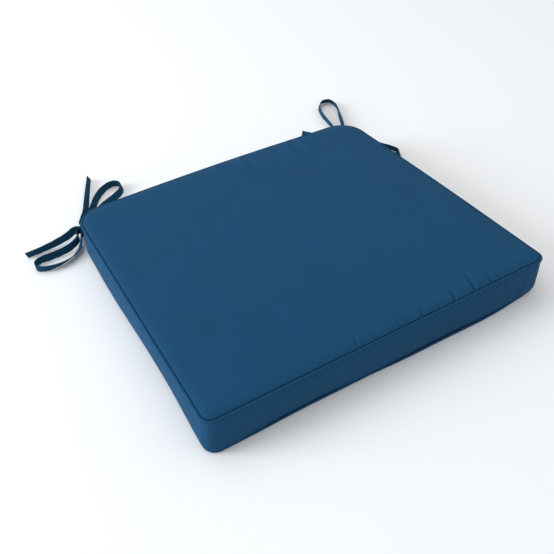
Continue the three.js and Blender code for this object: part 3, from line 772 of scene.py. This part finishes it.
def square_place(u, v):
    """Place on the edge of the square from -1 to 1, as 0 to 4 counter-clockwise."""
    sides = [(u + 1) / 2, 1 + (v + 1) / 2, 2 + (1 - u) / 2, 3 + (1 - v) / 2]
    tests = [v <= -1 + 1e-9, u >= 1 - 1e-9, v >= 1 - 1e-9]
    return np.select(tests, sides[:3], sides[3])


def square_grid():
    steps = np.linspace(-1, 1, SIDE_CELLS + 1)
    return np.meshgrid(steps, steps)


def panel_grid(rim):
    """Square grid wrapped onto the outline: xy of each point [row, column], and its ring."""
    u, v = square_grid()
    ring = np.maximum(np.abs(u), np.abs(v))
    safe = np.where(ring < 1e-9, 1, ring)
    place = square_place(u / safe, v / safe) * len(rim) / 4
    low = np.floor(place + 1e-6).astype(int)
    part = np.clip(place - low, 0, 1)[..., None]
    edge = rim[low % len(rim)] * (1 - part) + rim[(low + 1) % len(rim)] * part
    return edge * ring[..., None], ring


def crown_rise(xy, ring):
    """1 in the middle and 0 at the edge, with one smooth shoulder all round."""
    across = np.abs(xy[..., 0]) / (FRONT_WIDTH / 2)
    back = np.abs(xy[..., 1]) / -FRONT_EDGE
    shoulder = (1 - np.minimum(across, 1) ** CROWN_POWER) * (1 - np.minimum(back, 1) ** CROWN_POWER)
    return shoulder * (1 - ring**30)


def closed_shell(rows, crown):
    """A closed form from rings of points [row, station], bottom edge first, with a grid over the
    top and the bottom ring. Returns vertices, faces and the indices of rings, top and bottom."""
    side = rows.reshape(-1, 3)
    ring_index = np.arange(len(rows) * RIM_COUNT).reshape(len(rows), RIM_COUNT)
    vertices, faces = [side], []
    for r in range(len(rows) - 1):
        a, b = ring_index[r], ring_index[r + 1]
        faces.append(np.stack([a, np.roll(a, -1), np.roll(b, -1), b], 1))
    place = np.round(square_place(*square_grid()) * SIDE_CELLS).astype(int) % RIM_COUNT
    grids = []
    for r, rise in ((0, 0), (len(rows) - 1, crown)):
        xy, ring = panel_grid(rows[r][:, :2])
        z = rows[r][:, 2].mean() + rise * crown_rise(xy, ring)
        index = np.zeros(ring.shape, int)
        inner = ring < 1 - 1e-9
        start = sum(len(block) for block in vertices)
        index[inner] = start + np.arange(inner.sum())
        index[~inner] = ring_index[r][place[~inner]]
        vertices.append(np.concatenate([xy, z[..., None]], 2)[inner])
        quads = np.stack([index[:-1, :-1], index[:-1, 1:], index[1:, 1:], index[1:, :-1]], -1)
        faces.append(quads.reshape(-1, 4)[:, :: -1 if r == 0 else 1])
        grids.append(index)
    bottom, top = grids
    return np.vstack(vertices), np.vstack(faces), ring_index, top, bottom


# ---- Inflating the cover ----

def foot_lean():
    """How far the foot of the wall leans out past its head, at each station."""
    lean = np.zeros(RIM_COUNT)
    for place, reach, amount in SLUMPS:
        lean += amount * np.exp(-((np.linalg.norm(RIM - place, axis=1) / reach) ** 2))
    return lean


def foot_tuck():
    """How far the foot of the wall turns in over the lower piping, at each station."""
    tuck = np.full(RIM_COUNT, BOTTOM_TUCK)
    for place, reach, share in LET_OUT:
        tuck -= BOTTOM_TUCK * share * np.exp(-((np.linalg.norm(RIM - place, axis=1) / reach) ** 4))
    return tuck


def beside_zip():
    """1 where the rear boxing holds the zip, fading to 0 towards the corners."""
    stations = np.arange(RIM_COUNT)
    past = np.maximum(np.maximum(REAR_RIGHT - stations, stations - REAR_LEFT), 0)
    return np.clip(1 - past / ZIP_FADE, 0, 1) ** 2


def cover_rows():
    """Rings of the cover before it is filled: bottom edge, boxing levels and top edge."""
    levels = [0, *BOXING_LEVELS, PANEL_EDGE]
    stand = [WALL_STAND[0], *WALL_STAND, WALL_STAND[-1]]
    lean, tuck, zip_share = foot_lean(), foot_tuck(), beside_zip()
    rows = []
    for r, (level, out) in enumerate(zip(levels, stand)):
        fall = np.clip((BOXING_LEVELS[-1] - level) / BOXING_LEVELS[-1], 0, 1) ** 1.2
        turned_in = tuck if r < 2 else 0
        xy = RIM + OUTWARD * (out - WALL_INSET - turned_in + lean * fall)[:, None]
        from_zip = max(0, abs(r - 1 - ZIP_LEVEL) - 1)
        share = zip_share * max(0, 1 - from_zip / 2) ** 0.5
        xy[:, 1] += share * (ZIP_WALL - xy[:, 1])
        rows.append(np.column_stack([xy, np.full(RIM_COUNT, level)]))
    return np.array(rows)


def inflate(vertices, faces, pins):
    """Fill the cover under pressure with its seams held, and return where its cloth settles."""
    shell = mesh_object("inflating", vertices, faces)
    group = shell.vertex_groups.new(name="held")
    group.add([int(i) for i in pins], 1, "REPLACE")
    cloth = shell.modifiers.new("cloth", "CLOTH")
    cloth.settings.vertex_group_mass = "held"
    for key, value in SIM_SETTINGS.items():
        setattr(cloth.settings, key, value)
    cloth.settings.effector_weights.gravity = 0
    scene = bpy.context.scene
    for number in range(1, SIM_FRAMES + 1):
        scene.frame_set(number)
    graph = bpy.context.evaluated_depsgraph_get()
    settled = shell.evaluated_get(graph).to_mesh()
    places = np.empty(len(vertices) * 3)
    settled.vertices.foreach_get("co", places)
    scene.frame_set(1)
    bpy.data.objects.remove(shell)
    return places.reshape(-1, 3)


def filled_cover():
    """The filled cover's points: boxing rings [row, station] and the top and bottom grids."""
    rows = cover_rows()
    vertices, faces, rings, top, bottom = closed_shell(rows, CROWN)
    last = len(rows) - 1
    held = {*rings[0], *rings[1], *rings[last - 1], *rings[last], *bottom.ravel()}
    at_zip = beside_zip() > 0.9
    for r in (ZIP_LEVEL, ZIP_LEVEL + 1, ZIP_LEVEL + 2):
        held |= {*rings[r][at_zip]}
    settled = inflate(vertices, faces, sorted(held))
    move = settled - vertices
    distance = np.linalg.norm(move, axis=1)
    reach = SWELL * np.tanh(distance / SWELL)
    vertices = vertices + move * (reach / np.maximum(distance, 1e-9))[:, None]
    return vertices[rings], vertices[top], vertices[bottom]


# ---- Creases and folds the filled cover shows ----

# (x, y) at the seam, (x, y) of the inner end, depth, half width
CREASES = [
    ((-0.046, -0.204), (-0.041, -0.188), 0.0012, 0.0014),
    ((-0.020, -0.204), (-0.019, -0.194), 0.0006, 0.0013),
    ((0.014, -0.204), (0.010, -0.186), 0.0015, 0.0015),
    ((0.043, -0.204), (0.050, -0.188), 0.0015, 0.0015),
    ((0.068, -0.204), (0.070, -0.193), 0.0009, 0.0013),
    ((0.090, -0.204), (0.098, -0.185), 0.0018, 0.0017),
    ((0.107, -0.204), (0.110, -0.192), 0.0010, 0.0013),
    ((0.121, -0.204), (0.130, -0.170), 0.0023, 0.0019),
    ((0.134, -0.204), (0.136, -0.191), 0.0012, 0.0013),
    ((0.146, -0.204), (0.153, -0.183), 0.0021, 0.0016),
    ((0.162, -0.204), (0.156, -0.190), 0.0015, 0.0014),
    ((0.176, -0.204), (0.178, -0.193), 0.0010, 0.0013),
    ((0.197, -0.204), (0.195, -0.188), 0.0014, 0.0016),
    ((0.036, 0.203), (0.036, 0.143), 0.0017, 0.0042),
    ((0.043, 0.203), (0.053, 0.172), 0.0013, 0.0032),
    ((0.080, 0.202), (0.083, 0.168), 0.0010, 0.0040),
    ((0.117, 0.201), (0.109, 0.129), 0.0018, 0.0052),
    ((0.133, 0.200), (0.148, 0.148), 0.0018, 0.0048),
    ((0.146, 0.198), (0.173, 0.160), 0.0017, 0.0042),
]
# x of a soft vertical ripple in the front boxing, its lean, depth and half width
RIPPLES = [
    (-0.170, 0.15, 0.0006, 0.0070),
    (-0.120, -0.10, 0.0007, 0.0080),
    (-0.050, 0.20, 0.0008, 0.0070),
    (0.030, 0.25, 0.0012, 0.0052),
    (0.062, -0.20, 0.0014, 0.0056),
    (0.090, 0.30, 0.0013, 0.0050),
    (0.124, -0.25, 0.0016, 0.0058),
    (0.150, 0.20, 0.0013, 0.0046),
    (0.176, -0.30, 0.0015, 0.0052),
    (0.203, 0.15, 0.0010, 0.0048),
]
SHOULDER = 0.012
SHOULDER_DROP = 0.0028


def crease_depth(xy):
    """How far each point of the top sinks: a narrow valley with a low ridge on each side."""
    sunk = np.zeros(xy.shape[:-1])
    for seam, end, depth, width in CREASES:
        seam, end = np.array(seam), np.array(end)
        reach = np.linalg.norm(end - seam)
        along = (end - seam) / reach
        away = xy - seam
        t = (away @ along) / reach
        side = away @ np.array([-along[1], along[0]])
        fade = np.clip(1.15 - t, 0, 1) ** 1.5 * np.clip(1 + t * 4, 0, 1)
        width = width * (1 + 0.8 * np.clip(t, 0, 1))
        valley = np.exp(-((side / width) ** 2))
        ridges = sum(np.exp(-(((side + way * 1.9 * width) / width) ** 2)) for way in (-1, 1))
        sunk += depth * fade * (valley - 0.45 * ridges)
    return sunk


SEAM_STOPS = (0, 0.06, 0.12, 0.2, 0.3, 0.42, 0.58, 0.78)


def panel_stops(parts):
    """Places across the panel's grid: close together at the seams, then 1/parts of a cell."""
    inner = np.linspace(1, SIDE_CELLS - 1, parts * (SIDE_CELLS - 2) + 1)
    return np.array([*SEAM_STOPS, *inner, *[SIDE_CELLS - e for e in reversed(SEAM_STOPS)]])


def distance_from_edge(xy, grid):
    """How far each point is from the border of a grid of points."""
    border = np.concatenate([grid[0], grid[1:, -1], grid[-1, -2::-1], grid[-2:0:-1, 0]])[:, :2]
    start, step = border, np.roll(border, -1, 0) - border
    length = np.maximum((step**2).sum(1), 1e-12)
    flat = xy.reshape(-1, 2)
    nearest = np.full(len(flat), np.inf)
    for a, d, square in zip(start, step, length):
        t = np.clip((flat - a) @ d / square, 0, 1)
        nearest = np.minimum(nearest, np.linalg.norm(flat - a - t[:, None] * d, axis=1))
    return nearest.reshape(xy.shape[:-1])


def add_panel(level, points):
    panel = cloth_sheet(f"cover_{level}_panel_cloth", points, points[..., :2])
    place_piece(panel, "cover_cloth", f"cover_{level}_panel")


def add_top_panel(top):
    read_rows = catmull_rom_rows(panel_stops(3), SIDE_CELLS + 1)
    read_columns = catmull_rom_rows(panel_stops(6), SIDE_CELLS + 1)
    points = np.einsum("ri,ijk,cj->rck", read_rows, top, read_columns)
    roll = np.clip(1 - distance_from_edge(points[..., :2], top) / SHOULDER, 0, 1)
    points[..., 2] -= SHOULDER_DROP * (1 - np.sqrt(1 - roll**2))
    points[..., 2] -= crease_depth(points[..., :2])
    add_panel("top", points)


def boxing_strip(node, rings, levels, start, end):
    """A strip of boxing from station start to station end, between two of its levels."""
    low, high = levels
    rows = np.linspace(low, high, (high - low) * 3 + 1)
    columns = np.linspace(start, end, round((end - start) * 3) + 1)
    read_rows = catmull_rom_rows(rows, len(BOXING_LEVELS))
    read_columns = catmull_rom_rows(columns, RIM_COUNT, cyclic=True)
    points = np.einsum("ri,ijk,cj->rck", read_rows, rings, read_columns)
    outward = read_columns @ OUTWARD
    outward /= np.linalg.norm(outward, axis=1)[:, None]
    outward = np.column_stack([outward, np.zeros(len(columns))])
    front = np.clip((-outward[:, 1] - 0.9) / 0.1, 0, 1)
    x, z = points[..., 0], points[..., 2]
    rise = np.clip((z - BOXING_LEVELS[0]) / (BOXING_LEVELS[-1] - BOXING_LEVELS[0]), 0, 1)
    ripple = np.zeros(x.shape)
    for middle, lean, depth, width in RIPPLES:
        away = x - middle - lean * (z - TOP_SEAM / 2)
        ripple += depth * np.exp(-((away / width) ** 2))
    points += outward[None] * (ripple * front * np.sin(math.pi * rise) ** 0.7)[..., None]
    along = running_length(points[len(points) // 2])
    uvs = np.stack(np.broadcast_arrays(along[None], z), -1)
    # the allowances turn in at the piping
    if low == 0:
        points = np.vstack([points[:1] - outward * SEAM_ALLOWANCE, points])
        uvs = np.vstack([uvs[:1] - [0, SEAM_ALLOWANCE], uvs])
    if high == len(BOXING_LEVELS) - 1:
        points = np.vstack([points, points[-1:] - outward * SEAM_ALLOWANCE])
        uvs = np.vstack([uvs, uvs[-1:] + [0, SEAM_ALLOWANCE]])
    strip = cloth_sheet(f"{node}_cloth", points, uvs)
    place_piece(strip, "cover_cloth", node)


# cut widths of the two rear strips, with the allowance turned in at the piping
REAR_LOWER_CUT = 0.0284
REAR_UPPER_CUT = 0.0264
# how far the rear strips end short of the side strip, in stations
REAR_GAP = 0.05


def add_boxing(rings):
    rings = rings[1:-1]
    top = len(BOXING_LEVELS) - 1
    boxing_strip("boxing_front_and_sides", rings, (0, top), REAR_LEFT, RIM_COUNT + REAR_RIGHT)
    start, end = REAR_RIGHT + REAR_GAP, REAR_LEFT - REAR_GAP
    for name, levels, cut in (
        ("lower", (0, ZIP_LEVEL - 1), REAR_LOWER_CUT), ("upper", (ZIP_LEVEL + 1, top), REAR_UPPER_CUT),
    ):
        boxing_strip(f"boxing_rear_{name}", rings, levels, start, end)


# ---- Piping ----

PIPING_RADIUS = 0.0015
PIPING_CLOTH = 0.00035
PIPING_CORD_RADIUS = 0.00095
PIPING_OFFSET = 0.0009
FLANGE_HALF = 0.0005
FLANGE_END = -0.0078
PIPING_JOIN = 0.018
# past this the section is the bead, which the stitches draw tight; before it is the flange
BEAD_START = -0.0006
# cosine of the 45 degrees at which the strip is cut
BIAS = 0.7071
# the filler: three strands, the length of one turn, and how far the strands stand out
FILLER_RADIUS = PIPING_CORD_RADIUS * 0.95
STRANDS = 3
STRAND_TURN = 0.012
STRAND_RISE = 0.06


def piping_section():
    """Folded strip: outer arc, lower flange, inner arc, upper flange; x is outward."""
    outer, inner = PIPING_RADIUS, PIPING_RADIUS - PIPING_CLOTH
    slit = FLANGE_HALF - PIPING_CLOTH
    open_outer = math.pi - math.asin(FLANGE_HALF / outer)
    open_inner = math.pi - math.asin(slit / inner)
    bead, bore = (
        [
            (PIPING_OFFSET + radius * math.cos(a), radius * math.sin(a))
            for a in np.linspace(start, -start, count)
        ]
        for radius, start, count in ((outer, open_outer, 19), (inner, -open_inner, 13))
    )
    lower = [(FLANGE_END, -FLANGE_HALF), (FLANGE_END, -slit)]
    upper = [(FLANGE_END, slit), (FLANGE_END, FLANGE_HALF)]
    return np.array([*bead, *lower, *bore, *upper])


def piping_run(lift, at_foot):
    """Stations of the piping from one side of its join in the rear edge round to the other."""
    first, last = REAR_MIDDLE + PIPING_JOIN, RIM_COUNT + REAR_MIDDLE - PIPING_JOIN
    columns = np.linspace(first, last, 2 * RIM_COUNT + 1)
    read = catmull_rom_rows(columns, RIM_COUNT, cyclic=True)
    outward = read @ OUTWARD
    outward /= np.linalg.norm(outward, axis=1)[:, None]
    shift = read @ (foot_lean() - foot_tuck()) if at_foot else np.zeros(len(columns))
    middle = np.column_stack([read @ RIM + outward * shift[:, None], np.full(len(columns), lift)])
    return middle, np.column_stack([outward, np.zeros(len(columns))])


def add_piping(level, seam):
    middle, outward = piping_run(seam, level == "bottom")
    along = running_length(middle)
    up = np.array([0, 0, 1.0])
    # the stitches draw the folded strip tight at every few millimetres, never quite evenly
    drawn = uneven(along, (0.012, 1150, 0), (0.012, 410, 2), (0.01, 143, seam * 90))
    section = piping_section()
    bead = section[:, 0] > BEAD_START
    scale = np.where(bead[None], drawn[:, None], 1)
    out = PIPING_OFFSET + (section[None, :, 0] - PIPING_OFFSET) * scale
    rise = section[None, :, 1] * scale
    rings = middle[:, None] + out[..., None] * outward[:, None] + rise[..., None] * up
    girth = running_length(np.vstack([section, section[:1]]))
    uvs = np.stack(np.broadcast_arrays(along[:, None], girth[None]), -1)
    # the strip is cut on the bias, so its threads run at 45 degrees
    uvs = np.stack([uvs[..., 0] + uvs[..., 1], uvs[..., 0] - uvs[..., 1]], -1) * BIAS
    cover = swept(f"piping_{level}", rings, uvs)
    place_piece(cover, "piping_cloth", f"piping_cover_{level}")
    angles = np.linspace(0, 2 * math.pi, 13)[:-1]
    twist = 1 + STRAND_RISE * np.cos(STRANDS * (angles[None] - along[:, None] * 2 * math.pi / STRAND_TURN))
    out = PIPING_OFFSET + FILLER_RADIUS * np.cos(angles)[None] * twist
    rise = FILLER_RADIUS * np.sin(angles)[None] * twist
    rings = middle[:, None] + out[..., None] * outward[:, None] + rise[..., None] * up
    around = np.linspace(0, 2 * math.pi * PIPING_CORD_RADIUS, 13)
    uvs = np.stack(np.broadcast_arrays(along[:, None], around[None]), -1)
    place_piece(swept(f"piping_filler_{level}", rings, uvs), "piping_cord", f"piping_cord_{level}")


# ---- Zip ----

ZIP_HEIGHT = BOXING_LEVELS[ZIP_LEVEL]
# each tape dips behind its coil, and ends this far from the middle of the zip
TAPE_PARTING = 0.00015
TAPE_HALF_LENGTH = 0.1797
TAPE_BEND = 0.0035
TAPE_DIP = 0.0017
TAPE_THICKNESS = 0.0004
TAPE_EASE = 0.00008
COIL_PITCH = 0.0016
COIL_WIRE = 0.0003
COIL_MIDDLE = (0.20285, 0.00142)
COIL_HALF = (0.0007, 0.00078)
COIL_LENGTH = 0.336


def add_zip_tape(name, way):
    low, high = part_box(f"zip_tape_{name}")
    inner = ZIP_HEIGHT + way * TAPE_PARTING
    low.z, high.z = (low.z, inner) if way < 0 else (inner, high.z)
    low.x, high.x = -TAPE_HALF_LENGTH, TAPE_HALF_LENGTH
    x = np.linspace(low.x, high.x, 240)
    z = np.linspace(low.z, high.z, 24)
    grid_x, grid_z = np.meshgrid(x, z)
    ease = TAPE_EASE * np.sin(grid_x * 130) * np.sin((grid_z - low.z) / (high.z - low.z) * math.pi)
    behind = np.clip((TAPE_BEND - np.abs(grid_z - ZIP_HEIGHT)) / 0.0008, 0, 1)
    y = high.y - 0.0001 + ease - TAPE_DIP * behind * behind * (3 - 2 * behind)
    points = np.stack([grid_x, y, grid_z], -1)[:, ::-1]
    tape = cloth_sheet(f"zip_tape_{name}_woven", points, points[..., [0, 2]], TAPE_THICKNESS)
    place_piece(tape, "zip_tape", f"zip_tape_{name}")


def add_zip_coil(name, way):
    turns = COIL_LENGTH / COIL_PITCH
    angle = np.linspace(0, 2 * math.pi * turns, round(turns * 14))
    x = -COIL_LENGTH / 2 + COIL_PITCH * (angle / (2 * math.pi) + (0.0 if way > 0 else 0.5) - 0.25)
    x = np.clip(x, -COIL_LENGTH / 2 + COIL_WIRE, COIL_LENGTH / 2 - COIL_WIRE)
    depth = COIL_MIDDLE[0] + COIL_HALF[0] * np.sin(angle)
    height = ZIP_HEIGHT + way * (COIL_MIDDLE[1] - COIL_HALF[1] * np.cos(angle))
    path = np.column_stack([x, depth, height])
    tangent = np.gradient(path, axis=0)
    tangent /= np.linalg.norm(tangent, axis=1)[:, None]
    middle = (COIL_MIDDLE[0], ZIP_HEIGHT + way * COIL_MIDDLE[1])
    spoke = path - np.column_stack([x, np.full((len(x), 2), middle)])
    spoke -= tangent * np.sum(spoke * tangent, axis=1)[:, None]
    spoke /= np.linalg.norm(spoke, axis=1)[:, None]
    other = np.cross(tangent, spoke)
    turn = np.linspace(0, 2 * math.pi, 7)[:-1, None]
    rings = path[:, None] + COIL_WIRE * (np.cos(turn) * spoke[:, None] + np.sin(turn) * other[:, None])
    length = running_length(path)
    uvs = np.stack(np.broadcast_arrays(length[:, None], np.linspace(0, 0.002, 7)[None]), -1)
    coil = swept(f"zip_coil_{name}_teeth", rings, uvs)
    place_piece(coil, "zip_coil", f"zip_coil_{name}")


# place along half the clamp, and the share of its full girth there
CLAMP_PROFILE = ((0, 0.9), (0.2, 1), (0.75, 0.96), (0.93, 0.82), (1, 0.55))
CLAMP_CORNERS = 24


def squared(wave):
    """A sine or cosine pushed out, which turns a circle into a square with round corners."""
    return np.sign(wave) * np.abs(wave) ** 0.5


def add_stop(node):
    """A little metal clamp pinched over the end of the coils."""
    low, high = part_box(node)
    middle = (low + high) / 2
    half = (high - low) / 2
    corners = np.linspace(0, 2 * math.pi, CLAMP_CORNERS + 1)[:-1]
    y, z = squared(np.cos(corners)) * half.y, squared(np.sin(corners)) * half.z
    profile = [(-along, share) for along, share in CLAMP_PROFILE[:0:-1]] + list(CLAMP_PROFILE)
    rings = []
    for along, share in profile:
        x = np.full(CLAMP_CORNERS, middle.x + along * half.x)
        rings.append(np.column_stack([x, middle.y + y * share, middle.z + z * share]))
    uvs = np.zeros((len(profile), CLAMP_CORNERS + 1, 2))
    place_piece(swept(f"{node}_clamp", np.array(rings), uvs), "zip_metal", node)


def finish_cad_metal(node, width):
    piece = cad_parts[node]
    piece.data.materials.clear()
    piece.data.materials.append(MATERIALS["zip_metal"])
    bevel = piece.modifiers.new("rounded edges", "BEVEL")
    bevel.width = width
    bevel.segments = 3
    bevel.limit_method = "ANGLE"


def add_zip():
    for name, way in (("upper", 1), ("lower", -1)):
        add_zip_tape(name, way)
        add_zip_coil(name, way)
        add_stop(f"zip_top_stop_{name}")
    add_stop("zip_bottom_stop")
    finish_cad_metal("zip_slider", 0.00025)
    finish_cad_metal("zip_pull_tab", 0.0003)


# ---- Filling ----

# the most that the filling may reach back, less its inset
FILLING_BACK = 0.205
# how far the foam's edge is cut back at each height above its lowest and below its highest point
FOAM_EDGE = ((0.0012, 0.0), (0.0004, 0.0004), (0.0, 0.0012))
FOAM_INSET = 0.005
FOAM_SHOULDER = 0.006
UNDER_INSET = 0.0125
OVER_INSET = 0.0095
WADDING_CLEARANCE = 0.0002
WADDING_ROUND = 0.001
WADDING_WAVE = 0.0001
OVER_RISES = (0.0027, 0.0049)
OVER_CROWN = 0.0042


def filling_piece(name, node, slot, inset, rows, crown=0, wave=0.0):
    """A filling from rows of (how far it is cut back, level), with a gentle unevenness."""
    rings = []
    for cut_back, level in rows:
        xy = RIM - OUTWARD * (inset + cut_back)
        xy[:, 1] = np.minimum(xy[:, 1], FILLING_BACK - inset - cut_back)
        rings.append(np.column_stack([xy, np.full(RIM_COUNT, level)]))
    vertices, faces, *_ = closed_shell(np.array(rings), crown)
    x, y = vertices[:, 0], vertices[:, 1]
    coarse, fine = np.sin(x * 61 + 1) * np.sin(y * 53), np.sin(x * 149) * np.sin(y * 131 + 2)
    vertices[:, 2] += wave * (coarse + 0.5 * fine)
    piece = mesh_object(name, vertices, faces)
    place_piece(piece, slot, node)


def add_filling():
    low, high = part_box("foam_core")
    rows = [(cut_back, low.z + rise) for cut_back, rise in FOAM_EDGE]
    rows += [(0.0, level) for level in np.linspace(low.z + FOAM_SHOULDER, high.z - FOAM_SHOULDER, 8)]
    rows += [(cut_back, high.z - rise) for cut_back, rise in reversed(FOAM_EDGE)]
    filling_piece("foam_block", "foam_core", "foam", FOAM_INSET, rows)
    low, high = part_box("wadding_bottom")
    levels = (low.z + WADDING_CLEARANCE, (low.z + high.z) / 2, high.z - WADDING_CLEARANCE)
    rows = list(zip((WADDING_ROUND, 0.0, WADDING_ROUND), levels))
    filling_piece("wadding_under", "wadding_bottom", "wadding", UNDER_INSET, rows, wave=WADDING_WAVE)
    low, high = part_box("wadding_top")
    levels = (low.z + WADDING_CLEARANCE, *(low.z + rise for rise in OVER_RISES))
    rows = list(zip((WADDING_ROUND, 0.0, WADDING_ROUND), levels))
    filling_piece("wadding_over", "wadding_top", "wadding", OVER_INSET, rows, OVER_CROWN, WADDING_WAVE)


add_camera()
add_ties()
boxing_rings, top_grid, bottom_grid = filled_cover()
add_top_panel(top_grid)
add_panel("bottom", bottom_grid[:, ::-1])
add_boxing(boxing_rings)
add_piping("top", TOP_SEAM)
add_piping("bottom", BOTTOM_SEAM)
add_zip()
add_filling()
add_studio()
